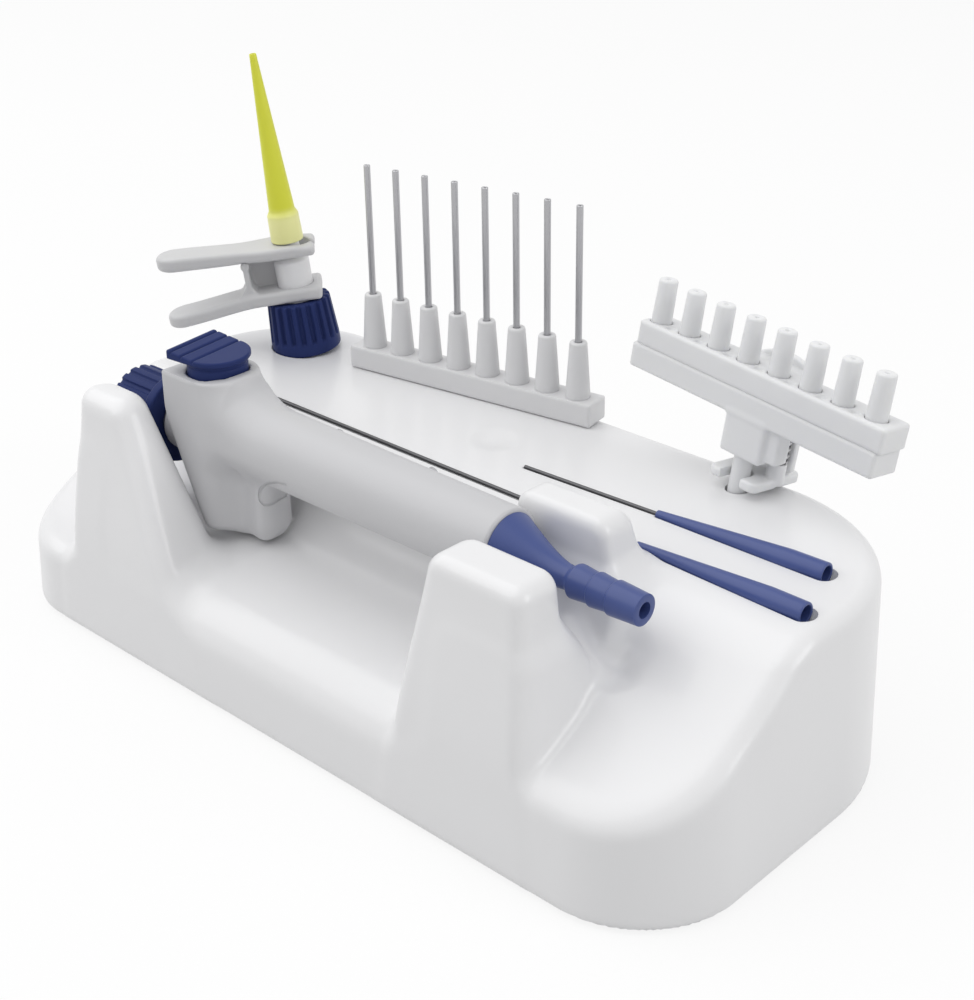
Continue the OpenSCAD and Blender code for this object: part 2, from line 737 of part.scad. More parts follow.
// A round across the arms at their pivot
module across_arm(r, half) translate([arm_pivot[0], half, arm_pivot[1]]) rotate([90, 0, 0])
  cylinder(r = r, h = 2 * half);

module ejector_lower_arm() color(grey) at_single() difference() {
  z = lower_arm_z;
  union() {
    arm() polygon([[-arm_back, z[0]], [arm_taper[0] + arm_end, z[0]],
      [arm_reach - arm_end, z[0] - arm_fall[0]], [arm_reach + arm_end, z[0] - arm_fall[1]],
      [arm_reach + arm_end, z[0] + 0.2], [arm_taper[1] + 1, z[1]], [-arm_back, z[1]]]);
    translate([arm_pivot[0] - web_t / 2, -arm_half, z[1] - 2])
      cube([web_t, 2 * arm_half, arm_pivot[1] - z[1] + 2]);
    across_arm(arm_bead_r, arm_half);
  }
  cylinder(r = cone_r + snug, h = cone_top);
}

module ejector_upper_arm() color(grey) at_single() difference() {
  z = upper_arm_z;
  arm() polygon([[-arm_back, z[0]], [arm_taper[1], z[0]],
    [arm_reach - arm_end, z[0] + 0.6], [arm_reach + arm_end, z[0] + 1.7],
    [arm_reach + arm_end, z[1] + 0.4], [arm_taper[1], z[1]], [-arm_back, z[1]]]);
  cylinder(r = cone_neck_r + gap + 0.1, h = cone_top);
  box([-over, -cone_neck_r - gap - 0.1, 0], [0, cone_neck_r + gap + 0.1, cone_top]);
  across_arm(arm_bead_r + gap, over);
}

module pipette_tip() color(yellow) at_single() translate([0, 0, tip_z]) rotate_extrude() polygon([
  [cone_tip_r + 0.95, 0], [tip_base_r, 0], [tip_base_r - 0.2, tip_collar_h - 1.2],
  [tip_base_r - 0.9, tip_collar_h], [tip_end_r, tip_l],
  [tip_bore_r, tip_l], [cone_tip_r + 0.35, cone_top - tip_z + 1]]);

// A straight channel through a row's bar, and the plugs that close its ends
module row_channel(end, z) along_x(-end - 1, z) cylinder(r = channel_r, h = 2 * end + 2);
module channel_plugs(end, z) for (x = [-end, end - plug_h]) along_x(x, z)
  cylinder(r = channel_r - 0.02, h = plug_h);

module manifold_bar() color(grey) at_manifold() difference() {
  union() {
    box([-manifold_end, -manifold_w / 2, gap], [manifold_end, manifold_w / 2, gap + manifold_h]);
    for (x = row_xs) translate([x, 0, manifold_h])
      cylinder(r1 = cone_base_r, r2 = cone_end_r, h = manifold_cone_h);
  }
  row_channel(manifold_end, manifold_channel_z);
  for (x = row_xs) translate([x, 0, manifold_channel_z]) cylinder(r = needle_r + snug, h = over);
  translate([0, 0, -1]) cylinder(r = manifold_pin_r + snug, h = manifold_channel_z - channel_r + 0.7);
  translate([0, 0, -1]) cylinder(r = passage_r, h = manifold_channel_z + 1);
}

module manifold_needles() color(steel) at_manifold() for (x = row_xs) {
  low = manifold_channel_z + channel_r + gap;
  translate([x, 0, low]) tube(needle_r, needle_bore_r, manifold_h + manifold_cone_h + needle_l - low);
}

module manifold_plugs() color(grey) at_manifold() channel_plugs(manifold_end, manifold_channel_z);

module manifold_spigot() color(grey) at_manifold() difference() {
  union() {
    translate([0, 0, -spigot_l]) cylinder(r = spigot_r, h = spigot_l + gap);
    translate([0, 0, -1]) cylinder(r = manifold_pin_r, h = manifold_channel_z - channel_r + 0.6);
  }
  translate([0, 0, -over]) cylinder(r = passage_r, h = 2 * over);
  o_groove(spigot_r + seal_proud, seal_z);
}

module manifold_o_ring() color(black) at_manifold() o_ring(spigot_r + seal_proud, seal_z);

module row_adapter_bar() color(milky) at_row() difference() {
  union() {
    box([-row_end, bar_y[0], bar_z[0]], [row_end, bar_y[1], bar_z[1]]);
    box([guide_boss_x[0], bar_y[1] - 1, bar_z[0]], [guide_boss_x[1], guide_boss_y, bar_z[1]]);
    box([neck_box_x[0], neck_box_y[0], neck_box_z], [neck_box_x[1], neck_box_y[1], bar_z[0] + 1]);
    translate([0, 0, -spigot_l]) cylinder(r = spigot_r, h = spigot_l + bar_z[0]);
    for (x = row_xs) translate([x, 0, bar_z[1] - 1])
      cylinder(r1 = row_cone_r[0], r2 = row_cone_r[1], h = row_cone_top - bar_z[1] + 1);
  }
  row_channel(row_end, row_channel_z);
  for (x = row_xs) translate([x, 0, row_channel_z]) cylinder(r = row_bore_r, h = over);
  translate([0, 0, -spigot_l - 1]) cylinder(r = passage_r, h = spigot_l + 1 + row_channel_z);
  o_groove(spigot_r + seal_proud, seal_z);
  translate(guide_place) cylinder(r = guide_r + snug, h = bar_z[1] - 2);
}

module row_adapter_plugs() color(milky) at_row() channel_plugs(row_end, row_channel_z);
module row_adapter_o_ring() color(black) at_row() o_ring(spigot_r + seal_proud, seal_z);

// The comb lies on the bar; behind the bar a link with an arched top carries a forked press plate
module ejector_comb() color(milky) at_row() difference() {
  union() {
    box([-row_end + gap, bar_y[0] + gap, comb_z], [row_end - gap, bar_y[1] + gap, comb_z + comb_h]);
    box([-link_half, bar_y[1], comb_z], [link_half, link_y[1], comb_z + comb_h]);
    box([-link_half, link_y[0], press_plate_z[0]], [link_half, link_y[1], comb_z + comb_h]);
    link_hump();
    translate([0, 0, press_plate_z[0]]) linear_extrude(press_plate_z[1] - press_plate_z[0])
      translate([press_plate_x[0], press_plate_y[0]])
        square([press_plate_x[1] - press_plate_x[0], press_plate_y[1] - press_plate_y[0]]);
  }
  box([neck_box_x[0] - gap, -over, 0], [neck_box_x[1] + gap, neck_box_y[1] + gap, neck_box_z + 1]);
  for (x = row_xs) translate([x, 0, comb_z - 1]) cylinder(r = row_cone_r[0] + gap, h = comb_h + 2);
  translate(guide_place) cylinder(r = guide_r + running, h = neck_box_z);
}

// Arched top of the link: a flat disc's upper part
module link_hump() {
  hump_r = (link_half * link_half + hump_rise * hump_rise) / (2 * hump_rise);
  top = comb_z + comb_h;
  intersection() {
    translate([0, link_y[1], top + hump_rise - hump_r]) rotate([90, 0, 0])
      cylinder(r = hump_r, h = link_y[1] - link_y[0], $fn = 96);
    box([-link_half, link_y[0], top - 1], [link_half, link_y[1], top + hump_rise + 1]);
  }
}

module comb_guide_pin() color(steel) at_row() translate([guide_place[0], guide_place[1], guide_low])
  cylinder(r = guide_r, h = bar_z[1] - 2 - snug - guide_low);

module comb_spring() color(steel) at_row() translate([guide_place[0], guide_place[1], 0])
  coil(1.9, 0.35, press_plate_z[1] + snug, bar_z[0] - snug, 5);

// A needle hub, from its open end towards its tube
module hub() difference() {
  cylinder(r1 = hub_r, r2 = hub_tip_r, h = hub_l);
  translate([0, 0, -1]) cylinder(r = hub_socket_r, h = hub_socket_l + 1);
  translate([0, 0, hub_socket_l - 1]) cylinder(r = tube_r + snug / 2, h = hub_l);
}

module needle_tube(tube_l) translate([0, 0, hub_socket_l + 2])
  tube(tube_r, tube_r - 0.2, hub_l - hub_socket_l - 2 + tube_l);

module short_needle_hub() color(navy) at_short() hub();
module short_needle_tube() color(steel) at_short() needle_tube(short_tube);
module long_needle_hub() color(navy) at_long() hub();
module long_needle_tube() color(steel) at_long() needle_tube(long_tube);

stand_shell();
base_plate();
base_screws();
rubber_feet();
handset_front_shell();
handset_rear_shell();
housing_screws();
push_button();
button_spring();
valve_plunger();
plunger_seals();
valve_body();
nose_socket();
nose_seal();
nose_nut();
suction_tube();
hose_connector();
connector_o_ring();
fluted_collar();
tip_cone();
collar_o_ring();
ejector_lower_arm();
ejector_upper_arm();
pipette_tip();
manifold_bar();
manifold_needles();
manifold_plugs();
manifold_spigot();
manifold_o_ring();
row_adapter_bar();
row_adapter_plugs();
row_adapter_o_ring();
ejector_comb();
comb_guide_pin();
comb_spring();
short_needle_hub();
short_needle_tube();
long_needle_hub();
long_needle_tube();
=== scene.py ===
# %% [markdown]
# # A pipette set on its stand
# The set is a glossy white stand that carries a handset, three nose adapters and two needles. The CAD part
# gives every solid its place and its joints. This lesson dresses it: it rebuilds the visible pieces with soft
# edges, gives each one a finish, and sets up a plain studio around them.

# %% Load the frame
import json
import math

import bpy
import numpy as np
from mathutils import Matrix, Vector


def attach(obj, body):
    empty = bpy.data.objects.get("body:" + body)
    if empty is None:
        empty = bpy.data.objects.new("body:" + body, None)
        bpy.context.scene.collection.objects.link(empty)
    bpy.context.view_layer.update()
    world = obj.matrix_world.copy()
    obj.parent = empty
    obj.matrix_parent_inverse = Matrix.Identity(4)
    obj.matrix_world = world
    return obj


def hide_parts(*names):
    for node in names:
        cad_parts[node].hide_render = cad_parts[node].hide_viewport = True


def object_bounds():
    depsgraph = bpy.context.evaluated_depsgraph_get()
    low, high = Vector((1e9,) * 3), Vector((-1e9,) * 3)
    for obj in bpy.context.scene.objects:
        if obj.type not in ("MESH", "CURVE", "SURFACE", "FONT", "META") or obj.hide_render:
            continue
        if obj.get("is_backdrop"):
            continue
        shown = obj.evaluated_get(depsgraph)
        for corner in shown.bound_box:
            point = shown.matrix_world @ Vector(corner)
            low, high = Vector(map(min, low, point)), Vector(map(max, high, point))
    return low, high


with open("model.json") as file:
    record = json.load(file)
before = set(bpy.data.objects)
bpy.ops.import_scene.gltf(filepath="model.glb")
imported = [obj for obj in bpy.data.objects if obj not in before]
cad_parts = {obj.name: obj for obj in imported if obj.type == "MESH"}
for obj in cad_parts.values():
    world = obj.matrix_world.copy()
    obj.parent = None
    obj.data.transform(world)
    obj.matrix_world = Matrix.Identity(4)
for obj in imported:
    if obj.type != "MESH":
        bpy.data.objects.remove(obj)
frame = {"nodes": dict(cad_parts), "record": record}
cad_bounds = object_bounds()
MM = 0.001

# %% [markdown]
# ## Soft shapes from distance fields
# A moulding like the stand has no straight edges to bevel: its posts, tray and scoop flow into each other.
# Box modelling that takes a long time. A distance field does it in a few lines: each form is a formula that
# is negative inside, and a rounded union or cut joins two formulas with a fillet of a given radius, in
# millimetres.

# %% Rounded joins
def both(a, b, r=0.0):
    """What lies in a and in b, with an edge rounded by r."""
    a, b = np.broadcast_arrays(a, b)
    u = np.maximum(a + r, 0)
    v = np.maximum(b + r, 0)
    return np.minimum(np.maximum(a, b), -r) + np.sqrt(u * u + v * v)


def either(a, b, r=0.0):
    """What lies in a or in b, with a hollow corner filled by r."""
    return -both(-a, -b, r)


def without(a, b, r=0.0):
    """What lies in a but not in b, with an edge rounded by r."""
    return both(a, -b, r)


def between(v, low, high):
    """Negative where v lies between low and high."""
    return np.abs(v - (low + high) / 2) - (high - low) / 2


def ease(v, low, high):
    """Rises smoothly from 0 at low to 1 at high."""
    t = np.clip((v - low) / (high - low), 0, 1)
    return t * t * (3 - 2 * t)


print("a sharp corner lies", round(float(both(0.0, 0.0, 1.0)), 3), "mm outside a rounding of 1 mm")


# %% [markdown]
# ## From a field to a mesh
# Surface nets put one vertex in every grid cell that the surface passes through and join neighbours into
# quads. The vertices are then relaxed and pulled back to the exact surface a few times, so that the mesh
# shades as smoothly as the formula is.

# %% Surface nets
def neighbour_mean(points, edges):
    """The mean place of every point's neighbours."""
    total = np.zeros_like(points)
    count = np.zeros(len(points))
    for a, b in ((0, 1), (1, 0)):
        np.add.at(total, edges[:, a], points[edges[:, b]])
        np.add.at(count, edges[:, a], 1)
    return total / count[:, None]


def pull_to_surface(points, field, step):
    """The points after one step down or up the field's slope, to where it is 0."""
    here = field(*points.T)
    rises = [field(*(points + d).T) - field(*(points - d).T) for d in np.eye(3) * step]
    slope = np.stack(rises, 1) / (2 * step)
    move = here / np.maximum((slope * slope).sum(1), 0.05)
    return points - np.clip(move, -3 * step, 3 * step)[:, None] * slope


def surface_net(field, low, high, cell, rounds=4):
    """Points and quads of the surface where field is 0, inside the box from low to high."""
    axes = [np.arange(a - 2 * cell, b + 3 * cell, cell) for a, b in zip(low, high)]
    grid = field(*np.meshgrid(*axes, indexing="ij", sparse=True))
    spots, cells = [], []
    for axis in range(3):
        turned = np.moveaxis(grid, [axis, (axis + 1) % 3, (axis + 2) % 3], [0, 1, 2])
        near, far = turned[:-1], turned[1:]
        where = np.argwhere((near < 0) != (far < 0))
        a, b = near[tuple(where.T)], far[tuple(where.T)]
        spot = where.astype(float)
        spot[:, 0] += a / (a - b)
        ring = where[:, None, :] + np.array([[0, 0, 0], [0, -1, 0], [0, -1, -1], [0, 0, -1]])
        ring[a >= 0] = ring[a >= 0][:, ::-1]
        back = [(-axis) % 3, (1 - axis) % 3, (2 - axis) % 3]
        spots.append(spot[:, back])
        cells.append(np.ravel_multi_index(tuple(np.moveaxis(ring[:, :, back], 2, 0)), grid.shape))
    spots, cells = np.concatenate(spots), np.concatenate(cells)
    _, quads = np.unique(cells, return_inverse=True)
    quads = quads.reshape(-1, 4)
    points = np.zeros((quads.max() + 1, 3))
    for corner in range(4):
        np.add.at(points, quads[:, corner], spots)
    points = points / np.bincount(quads.ravel())[:, None] * cell + np.array([x[0] for x in axes])
    sides = np.concatenate([quads[:, [0, 1]], quads[:, [1, 2]], quads[:, [2, 3]], quads[:, [3, 0]]])
    edges = np.unique(np.sort(sides, axis=1), axis=0)
    for _ in range(rounds):
        points += 0.5 * (neighbour_mean(points, edges) - points)
        points = pull_to_surface(points, field, cell / 4)
    return points, quads


def add_mesh(name, points, faces, place=Matrix()):
    """A smooth mesh object from millimetres, put in place by a matrix in millimetres."""
    mesh = bpy.data.meshes.new(name)
    place = np.array(place)
    points = (np.reshape(points, (-1, 3)) @ place[:3, :3].T + place[:3, 3]) * MM
    mesh.from_pydata(points, [], [list(map(int, f)) for f in faces])
    mesh.shade_smooth()
    piece = bpy.data.objects.new(name, mesh)
    bpy.context.scene.collection.objects.link(piece)
    print(name, "faces", len(mesh.polygons))
    return piece


def add_field(name, field, low, high, cell, place=Matrix()):
    """A mesh object of a field's surface."""
    return add_mesh(name, *surface_net(field, low, high, cell), place)


# %% [markdown]
# ## Turned pieces
# Tubes, cones, hubs and nuts are turned shapes. A lathe profile is a list of radius and height. Its corners
# are rounded first, because a moulded edge always catches a thin line of light, and a knife edge looks like a
# drawing.

# %% Lathe
def soften(points, radius, steps=4, closed=False):
    """The outline with every corner replaced by a small arc."""
    points = [np.array(p, float) for p in points]
    count = len(points)
    out = []
    for i, here in enumerate(points):
        if not closed and i in (0, count - 1):
            out.append(here)
            continue
        before, after = points[i - 1] - here, points[(i + 1) % count] - here
        reach = min(radius, 0.45 * np.linalg.norm(before), 0.45 * np.linalg.norm(after))
        a = here + before / np.linalg.norm(before) * reach
        b = here + after / np.linalg.norm(after) * reach
        for t in np.linspace(0, 1, steps + 1):
            out.append(a * (1 - t) ** 2 + here * 2 * t * (1 - t) + b * t * t)
    return out


def lathe(profile, segments=64, closed=False):
    """Points and faces of a profile turned about Z. It runs up the outside, and down a bore if it is closed."""
    turn = 2 * math.pi * np.arange(segments) / segments
    points, rings = [], []
    for r, z in profile:
        first = len(points)
        if r < 1e-6:
            points.append((0, 0, z))
            rings.append([first] * segments)
        else:
            points += [(r * math.cos(a), r * math.sin(a), z) for a in turn]
            rings.append(list(range(first, first + segments)))
    faces = []
    pairs = list(zip(rings, rings[1:])) + ([(rings[-1], rings[0])] if closed else [])
    for low, high in pairs:
        for j in range(segments):
            k = (j + 1) % segments
            face = list(dict.fromkeys([low[j], low[k], high[k], high[j]]))
            if len(face) > 2:
                faces.append(face)
    return points, faces


print("a small turned ring has", len(lathe([(1, 0), (2, 0), (2, 1), (1, 1)], 8, True)[1]), "faces")

# %% [markdown]
# ## Places
# Every group has a frame of its own, as in the CAD. The handset's lies on its handle's axis, an adapter's is
# where its spigot meets the stand's top, and a needle's is at its hub's open end. Objects could be moved and
# turned into place, but here each mesh is written where it belongs, so that all objects keep one origin.

# %% Frames of the groups
def at(x, y, z, turn=(0, 0, 0)):
    """A place in millimetres, turned about X, then Y, then Z, in degrees."""
    place = Matrix.Translation((x, y, z))
    for axis, angle in zip("ZYX", reversed(turn)):
        place = place @ Matrix.Rotation(math.radians(angle), 4, axis)
    return place


HANDSET_Z = 56.2
HANDSET = at(-49, -24, HANDSET_Z)
SINGLE = at(-82, 32.7, 51, (0, 7.2, 228))
MANIFOLD = at(-25.5, 40, 51, (1.5, 0, 9.2))
ROW = at(58, 39.8, 51, (-7, 3.5, -6.4))
SHORT_NEEDLE = at(95.4, 19, 51.1, (0, -90, 2.7))
LONG_NEEDLE = at(101.3, 2.2, 51.1, (0, -90, 0))
ALONG_X = at(0, 0, 0, (0, 90, 0))
print("the handset lies at", [round(v, 1) for v in HANDSET.translation])

# %% [markdown]
# ## Shader maths in Python
# Node trees are hard to read as lists of links. This small class wraps an output socket, so that sums on it
# add the Math nodes, and one method adds any other node. Shaders and geometry trees both use it.

# %% Wires
class Wire:
    """An output socket. Arithmetic on it adds Math nodes to its tree."""

    def __init__(self, socket):
        self.socket = socket

    def node(self, kind, settings=None, inputs=None, out=0):
        """Adds a node, sets it up, then fills its sockets with values or wires."""
        tree = self.socket.id_data
        made = tree.nodes.new(kind)
        for key, value in (settings or {}).items():
            setattr(made, key, value)
        for key, value in (inputs or {}).items():
            if isinstance(value, Wire):
                tree.links.new(value.socket, made.inputs[key])
            else:
                made.inputs[key].default_value = value
        return Wire(made.outputs[out])

    def math(self, operation, a, b=0.0):
        return self.node("ShaderNodeMath", {"operation": operation}, {0: a, 1: b})

    def __add__(self, other):
        return self.math("ADD", self, other)

    def __radd__(self, other):
        return self.math("ADD", other, self)

    def __sub__(self, other):
        return self.math("SUBTRACT", self, other)

    def __rsub__(self, other):
        return self.math("SUBTRACT", other, self)

    def __mul__(self, other):
        return self.math("MULTIPLY", self, other)

    def __truediv__(self, other):
        return self.math("DIVIDE", self, other)

    def smooth(self, low, high):
        """0 below low, 1 above high, eased between."""
        settings = {"interpolation_type": "SMOOTHSTEP"}
        return self.node("ShaderNodeMapRange", settings, {0: self, 1: low, 2: high, 3: 0.0, 4: 1.0})


# %% [markdown]
# ## Finishes
# Every piece is injection moulded plastic, steel or rubber. A moulded skin is never one flat colour: a broad,
# faint cloud shifts its tone and its gloss, and a fine grain breaks the reflections. The grain is a bump of a
# few microns. The yellow tip is paler below a set height, over its collar.

# %% Plastic finishes
CLOUD_SCALE = 38.0
GLOSS_DRIFT = 0.12
COAT_ROUGHNESS = 0.12
GLOW_DEPTH = 0.0025
GRAIN_HEIGHT = 0.00008


def colour(r, g, b):
    return (r, g, b, 1.0)


def finish(name, tone, rough, coat=0.0, metal=0.0, grain=0.0, grain_size=900.0, soft=0.0, drift=0.04,
           shine=0.5, band=None):
    """A material whose tone and gloss drift a little, with an optional fine grain and a paler band.

    The band is a place, a height along its Z in millimetres and the colour below that height.
    """
    material = bpy.data.materials.new(name)
    material.use_nodes = True
    tree = material.node_tree
    shader = tree.nodes["Principled BSDF"]
    where = Wire(tree.nodes.new("ShaderNodeTexCoord").outputs["Object"])
    cloud = where.node("ShaderNodeTexNoise", None, {"Vector": where, "Scale": CLOUD_SCALE, "Detail": 3.0})
    low = [c * (1 - drift) for c in tone]
    high = [min(c * (1 + drift), 1.0) for c in tone]
    blend = {"data_type": "RGBA"}
    skin = where.node("ShaderNodeMix", blend, {0: cloud, 6: colour(*low), 7: colour(*high)}, 2)
    if band:
        place, height, pale = band
        foot, axis = place.translation * MM, place.to_3x3().col[2]
        offset = where.node("ShaderNodeVectorMath", {"operation": "SUBTRACT"}, {0: where, 1: foot})
        dot = {"operation": "DOT_PRODUCT"}
        along = where.node("ShaderNodeVectorMath", dot, {0: offset, 1: axis}, "Value")
        share = along.smooth((height - 2.5) * MM, (height + 1.5) * MM)
        skin = where.node("ShaderNodeMix", blend, {0: share, 6: colour(*pale), 7: skin}, 2)
    tree.links.new(skin.socket, shader.inputs["Base Color"])
    gloss = rough + (cloud - 0.5) * GLOSS_DRIFT
    tree.links.new(gloss.socket, shader.inputs["Roughness"])
    shader.inputs["Metallic"].default_value = metal
    shader.inputs["Specular IOR Level"].default_value = shine
    shader.inputs["Coat Weight"].default_value = coat
    shader.inputs["Coat Roughness"].default_value = COAT_ROUGHNESS
    if soft:
        shader.inputs["Subsurface Weight"].default_value = soft
        shader.inputs["Subsurface Radius"].default_value = (1.0, 1.0, 0.9)
        shader.inputs["Subsurface Scale"].default_value = GLOW_DEPTH
    if grain:
        speck = where.node("ShaderNodeTexNoise", None, {"Vector": where, "Scale": grain_size, "Detail": 2.0})
        relief = {"Strength": grain, "Distance": GRAIN_HEIGHT, "Height": speck}
        bump = where.node("ShaderNodeBump", None, relief)
        tree.links.new(bump.socket, shader.inputs["Normal"])
    return material


LOOKS = {
    "stand_white": dict(tone=(0.80, 0.80, 0.81), rough=0.34, coat=0.25, grain=0.04, grain_size=300,
                        drift=0.012),
    "housing_grey": dict(tone=(0.55, 0.55, 0.565), rough=0.42, grain=0.12, drift=0.02),
    "navy_plastic": dict(tone=(0.024, 0.037, 0.130), rough=0.36, grain=0.1, drift=0.1, shine=0.06),
    "blue_plastic": dict(tone=(0.052, 0.080, 0.245), rough=0.34, grain=0.1, drift=0.12, shine=0.4),
    "clamp_grey": dict(tone=(0.58, 0.58, 0.59), rough=0.42, grain=0.1, soft=0.15, drift=0.025),
    "manifold_grey": dict(tone=(0.70, 0.70, 0.71), rough=0.42, grain=0.1, soft=0.15, drift=0.025),
    # The cone is the clamp's grey plastic made lighter: painted light on the lit cone.
    "cone_grey_painted_light": dict(tone=(0.78, 0.78, 0.79), rough=0.42, grain=0.1, soft=0.15, drift=0.025),
    "milky_plastic": dict(tone=(0.77, 0.775, 0.785), rough=0.38, grain=0.08, soft=0.3, drift=0.03),
    "yellow_plastic": dict(tone=(0.72, 0.74, 0.045), rough=0.34, soft=0.2,
                           band=(SINGLE, 39.4, (0.90, 0.89, 0.40))),
    "steel": dict(tone=(0.45, 0.45, 0.465), rough=0.33, metal=1.0, grain=0.15, grain_size=2200),
    # The needle tubes' steel is darkened almost to black: painted shade of the grooves they lie in.
    "needle_steel_painted_shade": dict(tone=(0.10, 0.10, 0.105), rough=0.35, metal=1.0, grain=0.15, grain_size=2200),
    "foot_rubber": dict(tone=(0.035, 0.035, 0.037), rough=0.75, grain=0.3),
    "seal_rubber": dict(tone=(0.02, 0.02, 0.022), rough=0.6, grain=0.2),
}
FINISHES = {name: finish(name, **look) for name, look in LOOKS.items()}
print("finishes:", len(FINISHES))

# %% [markdown]
# ## Carrying pieces over
# A finished piece takes its material slot's finish, rides on its body and stands in for its CAD node. Its
# edges above a given angle stay crisp, and the rest shades smoothly. The nodes that stay as they are, such as
# springs and seals, get their slot's finish too.

# %% Dressing
NODE_SLOTS = {part["node"]: part["material_slot"] for part in frame["record"]["subparts"]}
NODE_BODIES = {node: body for body, nodes in frame["record"]["behaviour"]["bodies"].items() for node in nodes}


def dress(piece, node, crease=50, look=None):
    """The piece stands for a node: it takes its body and its slot's finish, or another look."""
    slot = NODE_SLOTS[node]
    piece.data.set_sharp_from_angle(angle=math.radians(crease))
    piece.data.materials.append(FINISHES[look or slot])
    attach(piece, NODE_BODIES[node])
    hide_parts(node)


for name, node in frame["nodes"].items():
    node.data.materials.clear()
    node.data.materials.append(FINISHES[NODE_SLOTS[name]])
print("slots in use:", sorted(set(NODE_SLOTS.values())))

# %% [markdown]
# ## The stand
# One moulding, 220 by 108 mm. Its plan has four different corner radii and its walls lean in. A tray for the
# handle, a bay for the nose and a scoop for the hose are cut from it, and three posts stand up from its front
# and middle. The field's x starts 26 mm in from the stand's left end, and its y starts at the front edge.

# %% The stand's field
STAND_TOP = 51.0
STAND_FLOOR = 0.8
STAND_HALF = (110.0, 54.0)
STAND_CENTRE = (84.0, 54.0)
HANDSET_Y = 30.0
NOSE_DROP = 3.2
NUT_Z = HANDSET_Z - NOSE_DROP


def plan(x, y):
    """Distance to the stand's plan, a box with four corner radii."""
    px, py = x - STAND_CENTRE[0], y - STAND_CENTRE[1]
    r = np.where(py > 0, np.where(px > 0, 44.0, 34.0), 25.5)
    qx, qy = np.abs(px) - STAND_HALF[0] + r, np.abs(py) - STAND_HALF[1] + r
    return np.minimum(np.maximum(qx, qy), 0) + np.hypot(np.maximum(qx, 0), np.maximum(qy, 0)) - r


def stand_wall(x, y, z):
    """The outer wall: it leans in, and more so where the front posts rise."""
    return plan(x, y) + 2.5 * z / STAND_TOP + 4 * ease(z, 22, 66) * ease(-y, -40, -20)


def post(x, y, z, low, high, z0, z1, r=4.5):
    """A post between two rectangles x0, x1, y0, y1 at the heights z0 and z1."""
    t = (z - z0) / (z1 - z0)
    side = [a + (b - a) * t for a, b in zip(low, high)]
    across = np.maximum(side[0] - x, x - side[1])
    along = np.maximum(side[2] - y, y - side[3])
    return both(both(across, along, r), z - z1, 3.5)


def tray_and_bay(x, y, z):
    """The room for the handset: a tray whose floor climbs to the back, and a bay for the nose and the head."""
    tray = both((22 + 0.25 * y - z) * 0.97, y - 42, 9)
    tray = both(tray, np.maximum(20 - x, x - 128), 5)
    bay = both(np.hypot(y + 4, z - 78) - 58.5, x - 12, 4)
    trough = both(np.hypot(y - HANDSET_Y, np.minimum(z - 43, 0)) - 12.5, x - 47, 3)
    pocket = both(both(between(x, 24, 49), y - 40.8, 2), 30.4 - z, 1)
    return tray, either(either(bay, trough, 4), pocket, 2)


def scoop(x, y, z):
    """The low corner where the hose leaves: a nearly level floor that sweeps up into a slanted back wall."""
    floor = (22 + 0.14 * y - z) * 0.99
    back = (y + 7.1 - 1.05 * z) * 0.69
    left_side = 157.5 - 0.115 * (z - 24) - x
    return both(both(floor, back, 22), left_side, 2.5)


def hose_notch(x, y, z):
    """The valley between the two right posts, which carries the handle's end and falls away to the scoop."""
    floor = 47.2 - 3.2 * ease(x, 133, 140) - 6 * ease(x, 142, 156)
    half = np.clip(4.2 + 0.5 * (z - 44), 2.6, 9.4)
    return both(both(np.abs(y - HANDSET_Y) - half, floor - z, 3), between(x, 116, 160), 3)


def stand_field(cx, cy, z):
    """The whole moulding: the block, its hollows and posts, and room for the nut, the hose and the base."""
    x, y = cx + STAND_CENTRE[0], cy + STAND_CENTRE[1]
    wall = stand_wall(x, y, z)
    tray, bay = tray_and_bay(x, y, z)
    body = both(wall, z - STAND_TOP, 5)
    body = without(body, tray, 3 + 6 * ease(-y, -30, -10))
    body = without(body, bay, 4)
    body = without(body, scoop(x, y, z), 6)
    left = post(x, y, z, (6, 52, -9, 21.6), (7.5, 24, -9, 17.6), 14, 64.5, 5.5)
    front = post(x, y, z, (121, 157, -9, 22.6), (126.5, 152, -9, 21), 24, 63)
    rear = post(x, y, z, (119.5, 150, 38, 54), (121.5, 145.5, 39, 50), 44, 63.5, 3)
    body = either(body, both(left, wall, 5), 6)
    body = either(body, both(front, wall, 3.6), 3)
    body = either(body, rear, 5)
    nut_room = both(np.hypot(y - HANDSET_Y, z - NUT_Z) - 12.1, between(x, 15, 23), 0.6)
    body = without(body, nut_room, 0.8)
    body = without(body, hose_notch(x, y, z), 2.5 + 3 * ease(x, 148, 158))
    dimple = np.sqrt((x - 83) ** 2 + (y - 76) ** 2 + (z - STAND_TOP - 13.4) ** 2) - 14.2
    body = without(body, dimple, 1)
    body = both(both(body, wall, 0.8), STAND_FLOOR - z, 1.5)
    return without(body, both(wall + 3.2, z - 5.3), 0.5)


stand = add_field("stand", stand_field, (-110, -54, 0.8), (110, 54, 64), 1.0)

# %% [markdown]
# ## Holes and needle grooves
# The three adapters stand in round holes, and the two needles lie in grooves that fit their hubs. These edges
# are crisp on the real stand, so they are cut with booleans after the soft form is made.

# %% Cuts in the stand
def keep_modified(piece, modifier):
    """Turns a modifier's result into the piece's own mesh, smooth and bare."""
    mesh = bpy.data.meshes.new_from_object(piece.evaluated_get(bpy.context.evaluated_depsgraph_get()))
    mesh.materials.clear()
    mesh.shade_smooth()
    piece.modifiers.remove(modifier)
    old, piece.data = piece.data, mesh
    bpy.data.meshes.remove(old)


def trim(piece, tool, operation):
    """Cuts a piece with a closed tool, which is used up."""
    modifier = piece.modifiers.new("trim", "BOOLEAN")
    modifier.operation = operation
    modifier.solver = "MANIFOLD"
    modifier.object = tool
    keep_modified(piece, modifier)
    bpy.data.objects.remove(tool)


